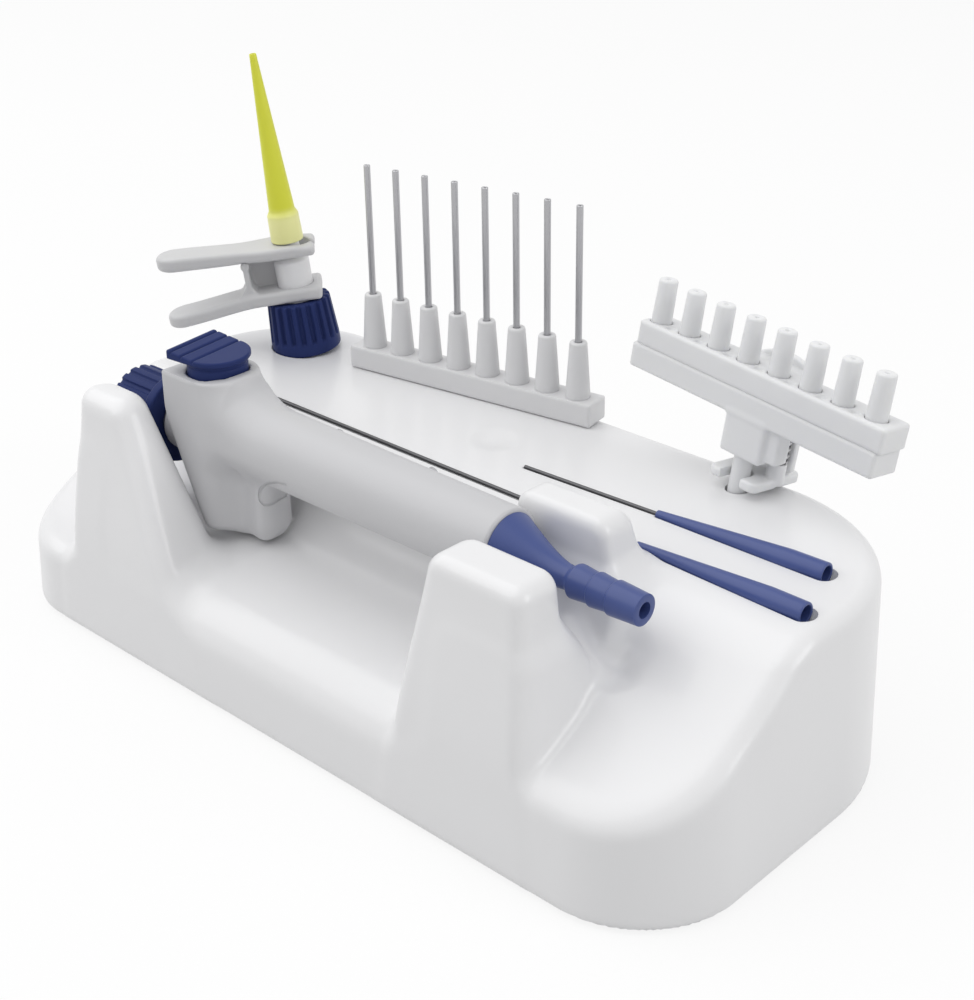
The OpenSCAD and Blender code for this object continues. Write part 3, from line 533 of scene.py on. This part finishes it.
def cut(piece, name, profile, place, segments=48):
    """Takes a turned shape out of a piece."""
    trim(piece, add_mesh(name, *lathe(profile, segments), place), "DIFFERENCE")


HUB_L = 43.0
HOLE_END = -14.5


def needle_groove(tube_end, slot):
    """The hollow under a needle: a round pit at the open end, then the hub's cone, then a slot for the tube."""
    pit = [(3.2 * math.sin(a), 0.6 - 2.8 * math.cos(a)) for a in np.linspace(0, math.pi / 2, 9)]
    return pit + [(1.5, HUB_L), (slot, HUB_L), (slot, HUB_L + tube_end), (0, HUB_L + tube_end)]


def spigot_hole(radius):
    """The hole for an adapter's spigot."""
    return [(0, HOLE_END), (radius, HOLE_END), (radius, 10), (0, 10)]


seat = [(0, HOLE_END), (2.6, HOLE_END), (2.6, -0.3), (9.8, -0.3), (9.8, 14), (0, 14)]
cut(stand, "collar_hole", seat, SINGLE)
cut(stand, "manifold_hole", spigot_hole(2.6), MANIFOLD)
cut(stand, "row_hole", spigot_hole(2.9), ROW)
cut(stand, "short_groove", needle_groove(38.3, 0.8), SHORT_NEEDLE, 32)
cut(stand, "long_groove", needle_groove(119.3, 1.15), LONG_NEEDLE, 32)
long_slot = [(0, 44), (1.0, 44), (1.0, 161.5), (0, 161.5)]
cut(stand, "long_slot", long_slot, at(0, 0, -1.5) @ LONG_NEEDLE, 24)
dress(stand, "stand_shell", crease=42)
print("stand triangles:", sum(len(p.vertices) - 2 for p in stand.data.polygons))

# %% [markdown]
# ## The handset's housing
# Two light grey shells meet in the handset's middle plane. The head has a D-shaped plan and a slanted nose
# side, the handle is a slim cone, and a thin hook hangs under the neck. The field is hollowed by its own wall
# thickness, and its mesh is split into the two halves. A fine groove runs round the root of the hook.

# %% Housing shells
HOUSING_WALL = 2.0
HANDLE_END = 94.0
SCREWS = ((9.6, -19.6), (35.0, 4.8), (65.0, 4.8))


def d_plan(x, y, r, flat, corner=0.8):
    """A disc with a straight edge at x = -flat."""
    return np.where(x > 0, np.hypot(x, y) - r, both(np.abs(y) - r, -flat - x, corner))


def housing_field(x, y, z):
    """The housing as a solid: head, nose, handle and hook, no wider than the head."""
    side = np.abs(y)
    head = both(d_plan(x, y, 9.7, 10), z - 13.8, 0.45)
    head = both(head, -25.2 - z, 2)
    head = both(head, -(23 * (x + 9.8) + 10.6 * (z + 0.2)) / 25.33, 2.5)
    nose = both(np.hypot(y, z + NOSE_DROP) - 7.4, between(x, -14, 0), 0.8)
    dip = np.clip(x - 22, -12, 0)
    rise = np.maximum(20 - np.sqrt(400 - dip * dip), 0)
    handle = np.hypot(y, z - np.clip(z, 0, rise)) - (9.3 - 0.7 * (x - 8) / 86)
    handle = both(handle, between(x, 3, HANDLE_END), 0.6)
    hook = both(side - 3.9 - 1.3 * ease(x, 12, 19), both(x - 20.5, -26.6 - z, 7), 4.2)
    hook = both(hook, np.maximum(z + 4, 2 - x), 1)
    shape = either(either(head, nose, 1.5), handle, 4)
    shape = either(shape, hook, 3)
    return both(shape, side - 9.75, 0.8)


def housing_shell(x, y, z):
    """The housing hollowed, with its screw pillars and its holes for the button, the nose and the connector."""
    solid = housing_field(x, y, z)
    shell = np.maximum(solid, -(solid + HOUSING_WALL))
    for sx, sz in SCREWS:
        pillar = np.hypot(x - sx, z - sz)
        shell = np.minimum(shell, np.maximum(solid, pillar - 2.9))
        shell = without(shell, np.maximum(pillar - 2.1, 5.3 - y))
    shell = without(shell, np.maximum(np.hypot(x, y) - 7.6, 9 - z), 0.3)
    shell = without(shell, np.maximum(np.hypot(y, z + NOSE_DROP) - 5.95, x + 3))
    return without(shell, np.maximum(np.hypot(y, z) - 6.1, 77 - x))


HOOK_GROOVE = [
    (20.4, 1.9, -13.4), (20.5, -0.5, -13.6), (20.5, -1.6, -13.9), (20.2, -2.6, -14.2),
    (19.7, -3.4, -14.4), (19.1, -4.1, -14.3), (18.8, -4.4, -13.9), (18.4, -4.6, -13.3),
    (18.2, -4.7, -12.6), (18.2, -4.7, -11.8), (18.4, -4.6, -11.0), (18.8, -4.6, -10.2),
    (19.4, -4.6, -9.4), (20.3, -4.6, -8.6), (20.9, -4.8, -8.2), (23.3, -6.3, -6.6), (24.9, -7.2, -5.7),
    (26.8, -7.9, -4.6), (28.8, -8.3, -3.7), (31.1, -8.6, -3.1), (33.2, -8.7, -2.6),
]


def box_mesh(low, high):
    """Points and faces of a box."""
    points = [(x, y, z) for x in (low[0], high[0]) for y in (low[1], high[1]) for z in (low[2], high[2])]
    return points, [(0, 1, 3, 2), (4, 6, 7, 5), (0, 4, 5, 1), (2, 3, 7, 6), (0, 2, 6, 4), (1, 5, 7, 3)]


def rod(path, radius, across, sides=12):
    """Points and faces of a round rod that follows a path, which never runs along the direction across."""
    path = np.array(path, float)
    along = np.gradient(path, axis=0)
    along /= np.linalg.norm(along, axis=1)[:, None]
    one = np.cross(along, across)
    one /= np.linalg.norm(one, axis=1)[:, None]
    two = np.cross(along, one)
    turn = math.tau * np.arange(sides) / sides
    ring = np.cos(turn)[None, :, None] * one[:, None] + np.sin(turn)[None, :, None] * two[:, None]
    points = (path[:, None] + radius * ring).reshape(-1, 3)
    faces = [list(range(sides))[::-1], list(range(len(points) - sides, len(points)))]
    for i in range(len(path) - 1):
        for j in range(sides):
            k = (j + 1) % sides
            faces.append((i * sides + j, i * sides + k, (i + 1) * sides + k, (i + 1) * sides + j))
    return points, faces


housing_net = surface_net(housing_shell, (-14.5, -10, -27), (94.5, 10, 14), 0.5)
for name, low, high, node in (("housing_front", -20, 0, "handset_front_shell"),
                              ("housing_rear", 0, 20, "handset_rear_shell")):
    shell = add_mesh(name, *housing_net, HANDSET)
    half = add_mesh(name + "_half", *box_mesh((-40, low, -60), (120, high, 60)), HANDSET)
    trim(shell, half, "INTERSECT")
    groove = add_mesh(name + "_groove", *rod(HOOK_GROOVE, 0.45, (0.6, -0.65, 0.45)), HANDSET)
    trim(shell, groove, "DIFFERENCE")
    dress(shell, node)

# %% [markdown]
# ## The push button
# A thumb button with a D-shaped cap. Its top rises towards the nose and has three grooves for grip, and its
# stem stands in a round hole with a small gap. The grooves are dips in the formula of the top, so they need
# no extra cuts.

# %% Button
CAP_GROOVES = (-7.5, -4.1, -0.3)
CAP_TURN = math.radians(6)


def button_field(x, y, z):
    """A D-shaped cap, turned a little about the stem's axis, on a hollow stem."""
    u = x * math.cos(CAP_TURN) + y * math.sin(CAP_TURN)
    v = y * math.cos(CAP_TURN) - x * math.sin(CAP_TURN)
    top = 18.6 + 0.1 * np.maximum(-u, 0) + 0.03 * v
    for groove in CAP_GROOVES:
        top = top - 0.55 * np.exp(-(((u - groove) / 0.3) ** 2))
    under = 17.2 + 0.03 * v
    cap = both(d_plan(u, v, 8.1, 9, 0.6), np.maximum(z - top, under - z), 0.45)
    ring = 0.25 * np.exp(-(((z - 16) / 0.25) ** 2))
    stem = both(np.hypot(x, y) - 7.3 + ring, np.maximum(9.3 - z, z - 18), 0.2)
    stem = without(stem, np.maximum(np.hypot(x, y) - 6, z - 14.9))
    return either(cap, stem, 0.5)


button = add_field("push_button_cap", button_field, (-10, -9.2, 9.2), (8.2, 8.2, 19.9), 0.21, HANDSET)
dress(button, "push_button")

# %% [markdown]
# ## Flutes
# The nose nut and the single adapter's collar have grip flutes all round. They could be cut one by one with
# booleans, but a node tree makes them all at once and keeps their number as an input. Each piece is turned on
# a lathe first. The tree then finds how far a point lies from the nearest groove's middle line and moves it
# inwards.

# %% Geometry node helpers
def open_tree(name, inputs):
    """A new geometry tree with these inputs: their wires by name, and the tree itself."""
    tree = bpy.data.node_groups.new(name, "GeometryNodeTree")
    for label, kind in [("Geometry", "Geometry")] + inputs:
        tree.interface.new_socket(label, in_out="INPUT", socket_type="NodeSocket" + kind)
    tree.interface.new_socket("Geometry", in_out="OUTPUT", socket_type="NodeSocketGeometry")
    entry = tree.nodes.new("NodeGroupInput")
    return {s.name: Wire(s) for s in entry.outputs if s.name}, tree


def close_tree(tree, shape, material):
    """Ends a tree in realized instances with a material."""
    real = shape.node("GeometryNodeRealizeInstances", None, {0: shape})
    done = real.node("GeometryNodeSetMaterial", None, {"Geometry": real, "Material": material})
    tree.links.new(done.socket, tree.nodes.new("NodeGroupOutput").inputs[0])


def grow(name, shape, tree, values, place):
    """Runs a tree on a mesh in millimetres, keeps the result as a plain mesh and puts it in place."""
    piece = add_mesh(name, *shape)
    piece.data.transform(Matrix.Scale(1 / MM, 4))
    nodes = piece.modifiers.new(name, "NODES")
    nodes.node_group = tree
    for item in tree.interface.items_tree:
        if item.in_out == "INPUT" and item.name in values:
            nodes[item.identifier] = values[item.name]
    keep_modified(piece, nodes)
    piece.data.transform(Matrix.Scale(MM, 4) @ place)
    return piece


# %% [markdown]
# The tree's inputs are a count and sizes in millimetres. The flutes run between two heights, and only outside
# an inner radius, so that a bore stays round.

# %% Flute tree
sizes = ["Count", "Depth", "Half Width", "Low", "High", "Inner"]
wires, flute_tree = open_tree("flutes", [(size, "Float") for size in sizes] + [("Material", "Material")])
start = wires["Geometry"]
place = start.node("GeometryNodeInputPosition")
split = start.node("ShaderNodeSeparateXYZ", None, {0: place})
px, py, pz = (Wire(s) for s in split.socket.node.outputs)
radius = start.math("SQRT", px * px + py * py)
turn = start.math("ARCTAN2", py, px) * wires["Count"] / math.tau
off_turn = start.math("FRACT", turn + 0.5) - 0.5
off_line = off_turn / wires["Count"] * math.tau * radius
off_end = start.math("MAXIMUM", start.math("MAXIMUM", wires["Low"] - pz, pz - wires["High"]), 0.0)
away = start.math("SQRT", off_line * off_line + off_end * off_end)
dent = 1.0 - away.smooth(wires["Half Width"] * 0.5, wires["Half Width"])
dent = dent * wires["Depth"] * radius.smooth(wires["Inner"], wires["Inner"] + 0.1)
scale = 1.0 - dent / radius
pressed = start.node("ShaderNodeCombineXYZ", None, {0: px * scale, 1: py * scale, 2: pz})
moved = start.node("GeometryNodeSetPosition", None, {"Geometry": start, "Position": pressed})
close_tree(flute_tree, moved, wires["Material"])
print("flute tree nodes:", len(flute_tree.nodes))

# %% [markdown]
# ## Nose nut
# The nut that holds an adapter in the handset's nose has eighteen flutes and a plain flange that faces the
# head. Its profile is split into short steps before it is turned, because the tree can only move points that
# are there.

# %% Nut
def dense(profile, step=0.7):
    """The profile with its long sides split, so that a groove has points to press."""
    out = []
    for a, b in zip(profile, profile[1:] + profile[:1]):
        count = max(1, int(np.linalg.norm(np.subtract(b, a)) / step))
        out += [tuple(np.add(a, np.subtract(b, a) * k / count)) for k in range(count)]
    return out


nut_outline = [(4.5, 0), (9, 0), (9, 15.1), (11.5, 15.1), (11.5, 18), (6.1, 18), (6.1, 3.6), (4.5, 3.6)]
nut_profile = dense(soften(nut_outline, 0.7, closed=True))
nut = grow("nose_nut_ribbed", lathe(nut_profile, 288, True), flute_tree,
           {"Count": 18.0, "Depth": 0.6, "Half Width": 0.85, "Low": -5.0, "High": 12.6, "Inner": 7.6,
            "Material": FINISHES["navy_plastic"]}, HANDSET @ at(-33, 0, -NOSE_DROP) @ ALONG_X)
dress(nut, "nose_nut")

# %% [markdown]
# ## Hose connector
# A blue trumpet in the handle's end narrows to a barbed tail, which a hose is pushed on. It could be swept
# along a bent path. Its tail only runs a little lower than the handle's axis, so it is turned straight, and
# its points are then shifted.

# %% Connector
flare = [(2.7 + 5.1 * (1 - t) ** 1.4, 0.05 + 16 * t) for t in np.linspace(0, 1, 18)]
tail = [(2.7, 17.0), (3.85, 18.4), (3.4, 23.2), (3.85, 23.5), (3.4, 28.0), (3.85, 28.3), (3.45, 35.6)]
outside = soften([(6, -15.8), (6, 0.02), (7.4, 0.02)] + flare + tail, 0.35)
connector_profile = outside + [(3.0, 35.8), (1.8, 35.7), (1.5, 30), (1.5, -15.8)]
points, faces = lathe(connector_profile, 72, True)
points = np.array(points)
points[:, 0] += 1.1 * ease(points[:, 2], 0, 16)
connector = add_mesh("hose_connector_turned", points, faces, HANDSET @ at(HANDLE_END, 0, 0) @ ALONG_X)
dress(connector, "hose_connector", crease=60)

# %% [markdown]
# ## Single adapter
# A fluted collar stands in the stand and holds a cone, which carries the tip. Both are turned, and the collar
# gets its flutes from the same tree as the nut.

# %% Collar and cone
collar_outline = [(0.9, -13), (2.3, -13), (2.3, 0), (9.5, 0), (9.5, 2.6), (8.6, 14.5), (4.86, 14.5),
                  (4.86, 6.5), (0.9, 6.5)]
collar_profile = dense(soften(collar_outline, 0.7, closed=True), 0.6)
collar = grow("collar_fluted", lathe(collar_profile, 320, True), flute_tree,
              {"Count": 20.0, "Depth": 1.0, "Half Width": 0.85, "Low": 4.2, "High": 18.0, "Inner": 7.0,
               "Material": FINISHES["navy_plastic"]}, SINGLE)
dress(collar, "fluted_collar")

cone_outline = [(0.9, 6.5), (4.8, 6.5), (4.8, 25.4), (3.2, 27), (2.9, 30.9), (2.3, 37.6), (0.9, 37.6)]
cone = add_mesh("tip_cone_turned", *lathe(soften(cone_outline, 0.5, closed=True), 48, True), SINGLE)
# The cone takes a lighter copy of the clamp's grey plastic: painted light.
dress(cone, "tip_cone", crease=60, look="cone_grey_painted_light")

# %% [markdown]
# A two-armed clamp on the cone pushes the tip off: squeezing the arms tilts the upper one over a bead on the
# lower one's web. The upper jaw's hole is longer than the cone is wide, which leaves it room to tilt.
# Bevelled boxes would look hard here, so both arms are fields with soft edges and joins.

# %% Ejector arms
ARM_PIVOT = (12.3, 26.3)


def arm_plan(x, y):
    """An arm from above: a wide jaw, a slimmer waist and a round outer end."""
    half = 6.4 - 1.4 * ease(x, 4, 15)
    straight = both(np.abs(y) - half, np.maximum(-7 - x, x - 30.7), 1)
    return np.minimum(straight, np.hypot(x - 30.7, y) - 5.0)


def lower_arm(x, y, z):
    """The arm that sits on the cone, with the web, its bead and a wall beside the web."""
    bend = 3.3 * ease(x, 4, 38)
    arm = both(arm_plan(x, y), np.maximum(14.9 - bend - z, z - 18.6 + bend), 1.2)
    half = 0.75 + 1.6 * ease(-z, -21, -17.6)
    web = both(both(np.abs(x - ARM_PIVOT[0]) - half, np.abs(y) - 4.3, 0.4), between(z, 16, ARM_PIVOT[1]))
    bead = both(np.hypot(x - ARM_PIVOT[0], z - ARM_PIVOT[1]) - 1.2, np.abs(y) - 4.3, 0.3)
    arm = without(either(either(arm, web, 0.8), bead, 0.4), np.hypot(x, y) - 4.86, 0.3)
    upright = np.maximum(between(y, -3.4, -1.8), between(z, 17, 26.6))
    wall = both(between(x, 2, ARM_PIVOT[0]), upright, 0.2)
    return either(arm, without(wall, np.hypot(x, y) - 4.82), 0.3)


def upper_arm(x, y, z):
    """The arm that tilts: its jaw reaches round the cone, and a groove under it sits on the bead."""
    low = 27.3 + 0.5 * ease(x, 14, 36)
    high = 30.6 + 1.1 * ease(x, 8, 34) - 0.12 * np.maximum(-1 - x, 0)
    arm = both(arm_plan(x, y), np.maximum(low - z, z - high), 1.2)
    opening = np.minimum(np.hypot(x, y) - 3.6, np.hypot(x + 1.4, y) - 4.3)
    arm = without(arm, np.minimum(opening, np.maximum(np.abs(y) - 1.1, x)), 0.4)
    return without(arm, np.hypot(x - ARM_PIVOT[0], z - ARM_PIVOT[1]) - 1.5, 0.2)


for name, field, low, high, node in (
        ("clamp_lower", lower_arm, (-7, -6.5, 11.5), (36.2, 6.5, 27.6), "ejector_lower_arm"),
        ("clamp_upper", upper_arm, (-7, -6.5, 27.2), (36.2, 6.5, 31.8), "ejector_upper_arm")):
    dress(add_field(name, field, low, high, 0.36, SINGLE), node)

# %% [markdown]
# The tip is a thin yellow cone with a wider collar at its foot, open at both ends. One closed profile turns
# its wall, its rims and its bore.

# %% Pipette tip
tip_outline = [(3.25, 0), (4.4, 0), (4.2, 7.3), (3.5, 8.5), (0.9, 50), (0.55, 50), (2.65, 7.7)]
tip_profile = soften(tip_outline, 0.35, closed=True)
tip = add_mesh("pipette_tip_turned", *lathe(tip_profile, 56, True), SINGLE @ at(0, 0, 30.9))
dress(tip, "pipette_tip", crease=60)

# %% [markdown]
# ## Rows of eight
# The needle manifold and the row adapter repeat one shape eight times, 9 mm apart, the pitch of a standard
# well plate. Eight copies could be placed by hand, but one node tree serves both: it puts a pattern on a line
# of points and joins it to the bar.

# %% Row tree
CHANNELS, PITCH = 8, 9.0
wires, row_tree = open_tree("row", [("Pattern", "Object"), ("Count", "Int"), ("Pitch", "Float"),
                                    ("Material", "Material")])
bar = wires["Geometry"]
first = (1.0 - wires["Count"]) * wires["Pitch"] / 2.0
line = bar.node("GeometryNodeMeshLine", None, {
    "Count": wires["Count"], "Start Location": bar.node("ShaderNodeCombineXYZ", None, {0: first}),
    "Offset": bar.node("ShaderNodeCombineXYZ", None, {0: wires["Pitch"]})})
source = {"Object": wires["Pattern"], "As Instance": True}
pattern = bar.node("GeometryNodeObjectInfo", None, source, "Geometry")
copies = bar.node("GeometryNodeInstanceOnPoints", None, {"Points": line, "Instance": pattern})
joined = bar.node("GeometryNodeJoinGeometry", None, {0: copies})
row_tree.links.new(bar.socket, joined.socket.node.inputs[0])
close_tree(row_tree, joined, wires["Material"])
print("row tree nodes:", len(row_tree.nodes))


def row_of(name, shape, profile, node, place, segments=32, look=None):
    """Makes and dresses a bar with eight copies of a turned pattern."""
    pattern = add_mesh(name + "_pattern", *lathe(profile, segments, True))
    pattern.data.transform(Matrix.Scale(1 / MM, 4))
    piece = grow(name, shape, row_tree, {"Pattern": pattern, "Count": CHANNELS, "Pitch": PITCH,
                                         "Material": FINISHES[look or NODE_SLOTS[node]]}, place)
    bpy.data.objects.remove(pattern)
    print(name, "faces with its row:", len(piece.data.polygons))
    dress(piece, node, look=look)


# %% [markdown]
# The manifold is a slim bar with eight tapered hubs, and a steel needle stands in each. The bar is a field
# with soft edges, and the tree adds the hubs and the needles.

# %% Needle manifold
def block(x, y, z, low, high, r):
    """A box with rounded edges."""
    flat = both(between(x, low[0], high[0]), between(y, low[1], high[1]), r)
    return both(flat, between(z, low[2], high[2]), r)


def manifold_field(x, y, z):
    """The manifold's bar, with a blind hole under it for the spigot."""
    body = block(x, y, z, (-37.2, -4, 0.3), (37.2, 4, 6.4), 0.5)
    return without(body, np.maximum(np.hypot(x, y) - 1.6, z - 2.4))


hub_profile = soften([(0.86, 6.2), (3.2, 6.2), (3.15, 7), (2.2, 21.1), (0.86, 21.1)], 0.6, closed=True)
manifold_net = surface_net(manifold_field, (-37.2, -4, 0.3), (37.2, 4, 6.4), 0.45)
row_of("manifold_body", manifold_net, hub_profile, "manifold_bar", MANIFOLD, look="manifold_grey")
needle_profile = soften([(0.4, 5), (0.85, 5), (0.85, 55.7), (0.4, 55.7)], 0.2, closed=True)
row_of("manifold_tubes", ([], []), needle_profile, "manifold_needles", MANIFOLD, 20)

# %% [markdown]
# The row adapter is a bar with eight cones, on a stepped neck and a stem. Its blocks are joined as fields, so
# that every step has a small fillet. A blind hole behind the neck takes the pin that guides the comb.

# %% Row adapter
GUIDE = (6.0, 4.9)


def row_field(x, y, z):
    """The bar below the comb, the guide's block, the neck's two blocks and the stem."""
    body = block(x, y, z, (-35.8, -4, 18.2), (36.0, 5.2, 26), 0.6)
    body = either(body, block(x, y, z, (2.8, 2, 17.2), (9.2, 7.2, 26), 0.5), 0.4)
    body = both(body, z - 24.2, 0.1)
    body = either(body, block(x, y, z, (-4.8, -4, 9), (7, 2.2, 19.5), 0.9), 0.8)
    body = either(body, block(x, y, z, (5, -2.6, 10), (10.5, 2.0, 19.5), 0.9), 0.8)
    body = either(body, both(np.hypot(x, y) - 2.3, between(z, -13, 12), 0.3), 0.8)
    return without(body, np.maximum(np.hypot(x - GUIDE[0], y - GUIDE[1]) - 1.25, z - 22.2))


tip_row_profile = soften([(0.45, 23.4), (2.6, 23.4), (2.25, 40.4), (0.45, 40.4)], 0.7, closed=True)
row_net = surface_net(row_field, (-35.8, -4, -13), (36.0, 7.2, 24.2), 0.5)
row_of("row_body", row_net, tip_row_profile, "row_adapter_bar", ROW)

# %% [markdown]
# The comb lies on the row adapter's bar, round the cones. A link behind the bar, with an arched top, carries
# the plate that the thumb presses. The plate is a fork round the stem, and a small boss on it seats the
# spring. The comb's holes repeat inside the formula, which folds x into one pitch.

# %% Ejector comb
def comb_field(x, y, z):
    """The comb with its holes and dimples, the link behind it and the press plate with the spring's boss."""
    guide = np.hypot(x - GUIDE[0], y - GUIDE[1])
    body = both(block(x, y, z, (-34.8, -4, 22), (36.8, 5.4, 30), 0.8), 24.24 - z, 0.1)
    link = both(between(x, -8, 8), between(y, 7.5, 9.3), 0.5)
    arch = np.hypot(x, z - 17.9) - 14.5
    link = both(link, np.maximum(2.4 - z, np.maximum(z - 32.4, arch)), 0.5)
    shelf = block(x, y, z, (-8, 4, 24.5), (8, 9.3, 30), 0.5)
    plate = both(both(between(x, -6.6, 7.4), between(y, -4, 13.2), 2), between(z, 2.2, 4.6), 0.6)
    plate = without(plate, np.where(y < 0, np.abs(x), np.hypot(x, y)) - 2.9, 0.4)
    plate = either(plate, both(guide - 2.2, between(z, 3, 8.3), 0.3), 0.5)
    body = either(either(body, shelf, 0.4), either(link, plate, 0.6), 0.4)
    near = x - PITCH * (np.clip(np.round(x / PITCH - 0.5), -4, 3) + 0.5)
    body = without(body, np.maximum(np.hypot(near, y) - 2.64, 24 - z), 0.25)
    gap = x - PITCH * np.clip(np.round(x / PITCH), -3, 3)
    body = without(body, np.hypot(np.hypot(gap, y + 1.6), z - 30.6) - 1.3, 0.2)
    return without(body, np.maximum(guide - 1.5, z - 9))


comb = add_field("comb_plate", comb_field, (-34.8, -4, 2.2), (36.8, 13.2, 32.4), 0.42, ROW)
dress(comb, "ejector_comb")

# %% [markdown]
# ## Two needles
# Each has a blue hub that fits the nose, and a thin steel tube. They lie in their grooves on the stand's
# right side. Hubs and tubes are plain turned shapes, so one loop makes both needles.

# %% Needles
hub_outline = [(1.9, 0), (2.62, 0), (2.7, 9), (1.0, HUB_L), (0.52, HUB_L), (0.52, 15.2), (1.9, 14)]
for kind, length, place in (("short", 38.0, SHORT_NEEDLE), ("long", 119.0, LONG_NEEDLE)):
    hub = add_mesh(kind + "_hub", *lathe(soften(hub_outline, 0.4, closed=True), 40, True), place)
    dress(hub, kind + "_needle_hub", crease=60)
    tube_outline = [(0.3, 16), (0.5, 16), (0.5, HUB_L + length), (0.3, HUB_L + length)]
    tube = add_mesh(kind + "_tube", *lathe(soften(tube_outline, 0.06, closed=True), 20, True), place)
    # The tubes take near-black steel, which is painted shade of the grooves they lie in.
    dress(tube, kind + "_needle_tube", crease=60, look="needle_steel_painted_shade")

# %% [markdown]
# ## The studio
# The set stands on a white floor. Seen by the camera the floor is mostly white, and it keeps the soft shadow
# under the stand. Light that only bounces meets a plain pale floor, so the object isn't lit from below.

# %% Floor
def seen_directly(tree):
    """1 for rays from the camera, or from a mirror or a window, and 0 for light that bounces."""
    path = tree.nodes.new("ShaderNodeLightPath").outputs
    straight = Wire(path["Is Camera Ray"]) + Wire(path["Is Glossy Ray"]) + Wire(path["Is Transmission Ray"])
    return straight.math("MINIMUM", straight, 1.0)


def floor_material():
    """Pale paper with a faint cloud, washed out to white where it is seen directly."""
    material = bpy.data.materials.new("floor")
    material.use_nodes = True
    tree = material.node_tree
    shader = tree.nodes["Principled BSDF"]
    shader.inputs["Roughness"].default_value = 0.9
    where = Wire(tree.nodes.new("ShaderNodeTexCoord").outputs["Object"])
    seen = seen_directly(tree)
    cloud = where.node("ShaderNodeTexNoise", None, {"Vector": where, "Scale": 6.0})
    paper = 0.6 + seen * 0.26 + cloud * 0.04
    tree.links.new(paper.socket, shader.inputs["Base Color"])
    white = where.node("ShaderNodeEmission", None, {"Color": colour(1, 1, 1), "Strength": 1.0})
    lit = Wire(shader.outputs[0])
    mixed = where.node("ShaderNodeMixShader", None, {0: seen * 0.85, 1: lit, 2: white})
    tree.links.new(mixed.socket, tree.nodes["Material Output"].inputs[0])
    return material


FLOOR_HALF = 4000.0
FLOOR_Z = -0.05
corners = [(x * FLOOR_HALF, y * FLOOR_HALF, FLOOR_Z) for x, y in ((-1, -1), (1, -1), (1, 1), (-1, 1))]
floor = add_mesh("floor", corners, [(0, 1, 2, 3)])
floor.data.materials.append(floor_material())
floor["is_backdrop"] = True

# %% [markdown]
# A broad lamp above the left front models the posts and the scoop, a smaller one stands at the right, and an
# even sky fills the rest. Small bright lamps would throw hard shadows, and a studio picture has soft ones.

# %% Lamps and sky
AIM = Vector((0, 0, 0.03))
SKY = 0.58


def add_lamp(name, place, size, power):
    """A round lamp in metres that points at the set."""
    data = bpy.data.lights.new(name, "AREA")
    data.shape = "DISK"
    data.size = size
    data.energy = power
    lamp = bpy.data.objects.new(name, data)
    turn = (Vector(place) - AIM).to_track_quat("Z", "Y")
    lamp.matrix_world = Matrix.Translation(place) @ turn.to_matrix().to_4x4()
    bpy.context.scene.collection.objects.link(lamp)


add_lamp("key", (-0.5, -0.35, 1.0), size=1.7, power=9.2)
add_lamp("right", (0.9, 0.3, 0.6), size=0.6, power=2.6)

world = bpy.data.worlds.new("sky")
world.use_nodes = True
sky = world.node_tree.nodes["Background"]
direct = seen_directly(world.node_tree)
strength = SKY + direct * (1.0 - SKY)
world.node_tree.links.new(strength.socket, sky.inputs["Strength"])
sky.inputs["Color"].default_value = colour(1, 1, 1)
bpy.context.scene.world = world
bpy.context.scene.view_settings.view_transform = "Standard"
print("lamps:", len(bpy.data.lights))

# %% [markdown]
# ## Camera and size
# The camera was fitted to points and edges of the photograph whose place on the object is known, above all
# the manifold's eight hubs and needle ends with their 9 mm pitch. It could be set by eye, but then the pieces
# would line up with the photograph in one place and drift in another. The fitted place, turn and lens are
# kept as numbers.

# %% Camera
CAMERA_PLACE = Vector((0.25265, -0.25531, 0.22337))
CAMERA_RIGHT = Vector((0.7338, 0.6793, 0.0))
CAMERA_BACK = Vector((0.6070, -0.6557, 0.4490))
CAMERA_LENS = 60.83


def add_camera():
    """The scene's camera, with its axes squared up from two fitted directions."""
    data = bpy.data.cameras.new("camera")
    data.lens = CAMERA_LENS
    data.sensor_width = 36
    camera = bpy.data.objects.new("camera", data)
    back = CAMERA_BACK.normalized()
    right = (CAMERA_RIGHT - back * CAMERA_RIGHT.dot(back)).normalized()
    turn = Matrix((right, back.cross(right), back)).transposed()
    camera.matrix_world = Matrix.Translation(CAMERA_PLACE) @ turn.to_4x4()
    bpy.context.scene.collection.objects.link(camera)
    bpy.context.scene.camera = camera


add_camera()
print("lens in mm:", CAMERA_LENS)

# %% [markdown]
# The last cell prints the size of the dressed object's box beside the CAD's.

# %% Size and finish
visual_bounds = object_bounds()
for label, (low, high) in (("CAD", cad_bounds), ("visual", visual_bounds)):
    print(label, "size in mm:", [round((b - a) / MM, 2) for a, b in zip(low, high)])
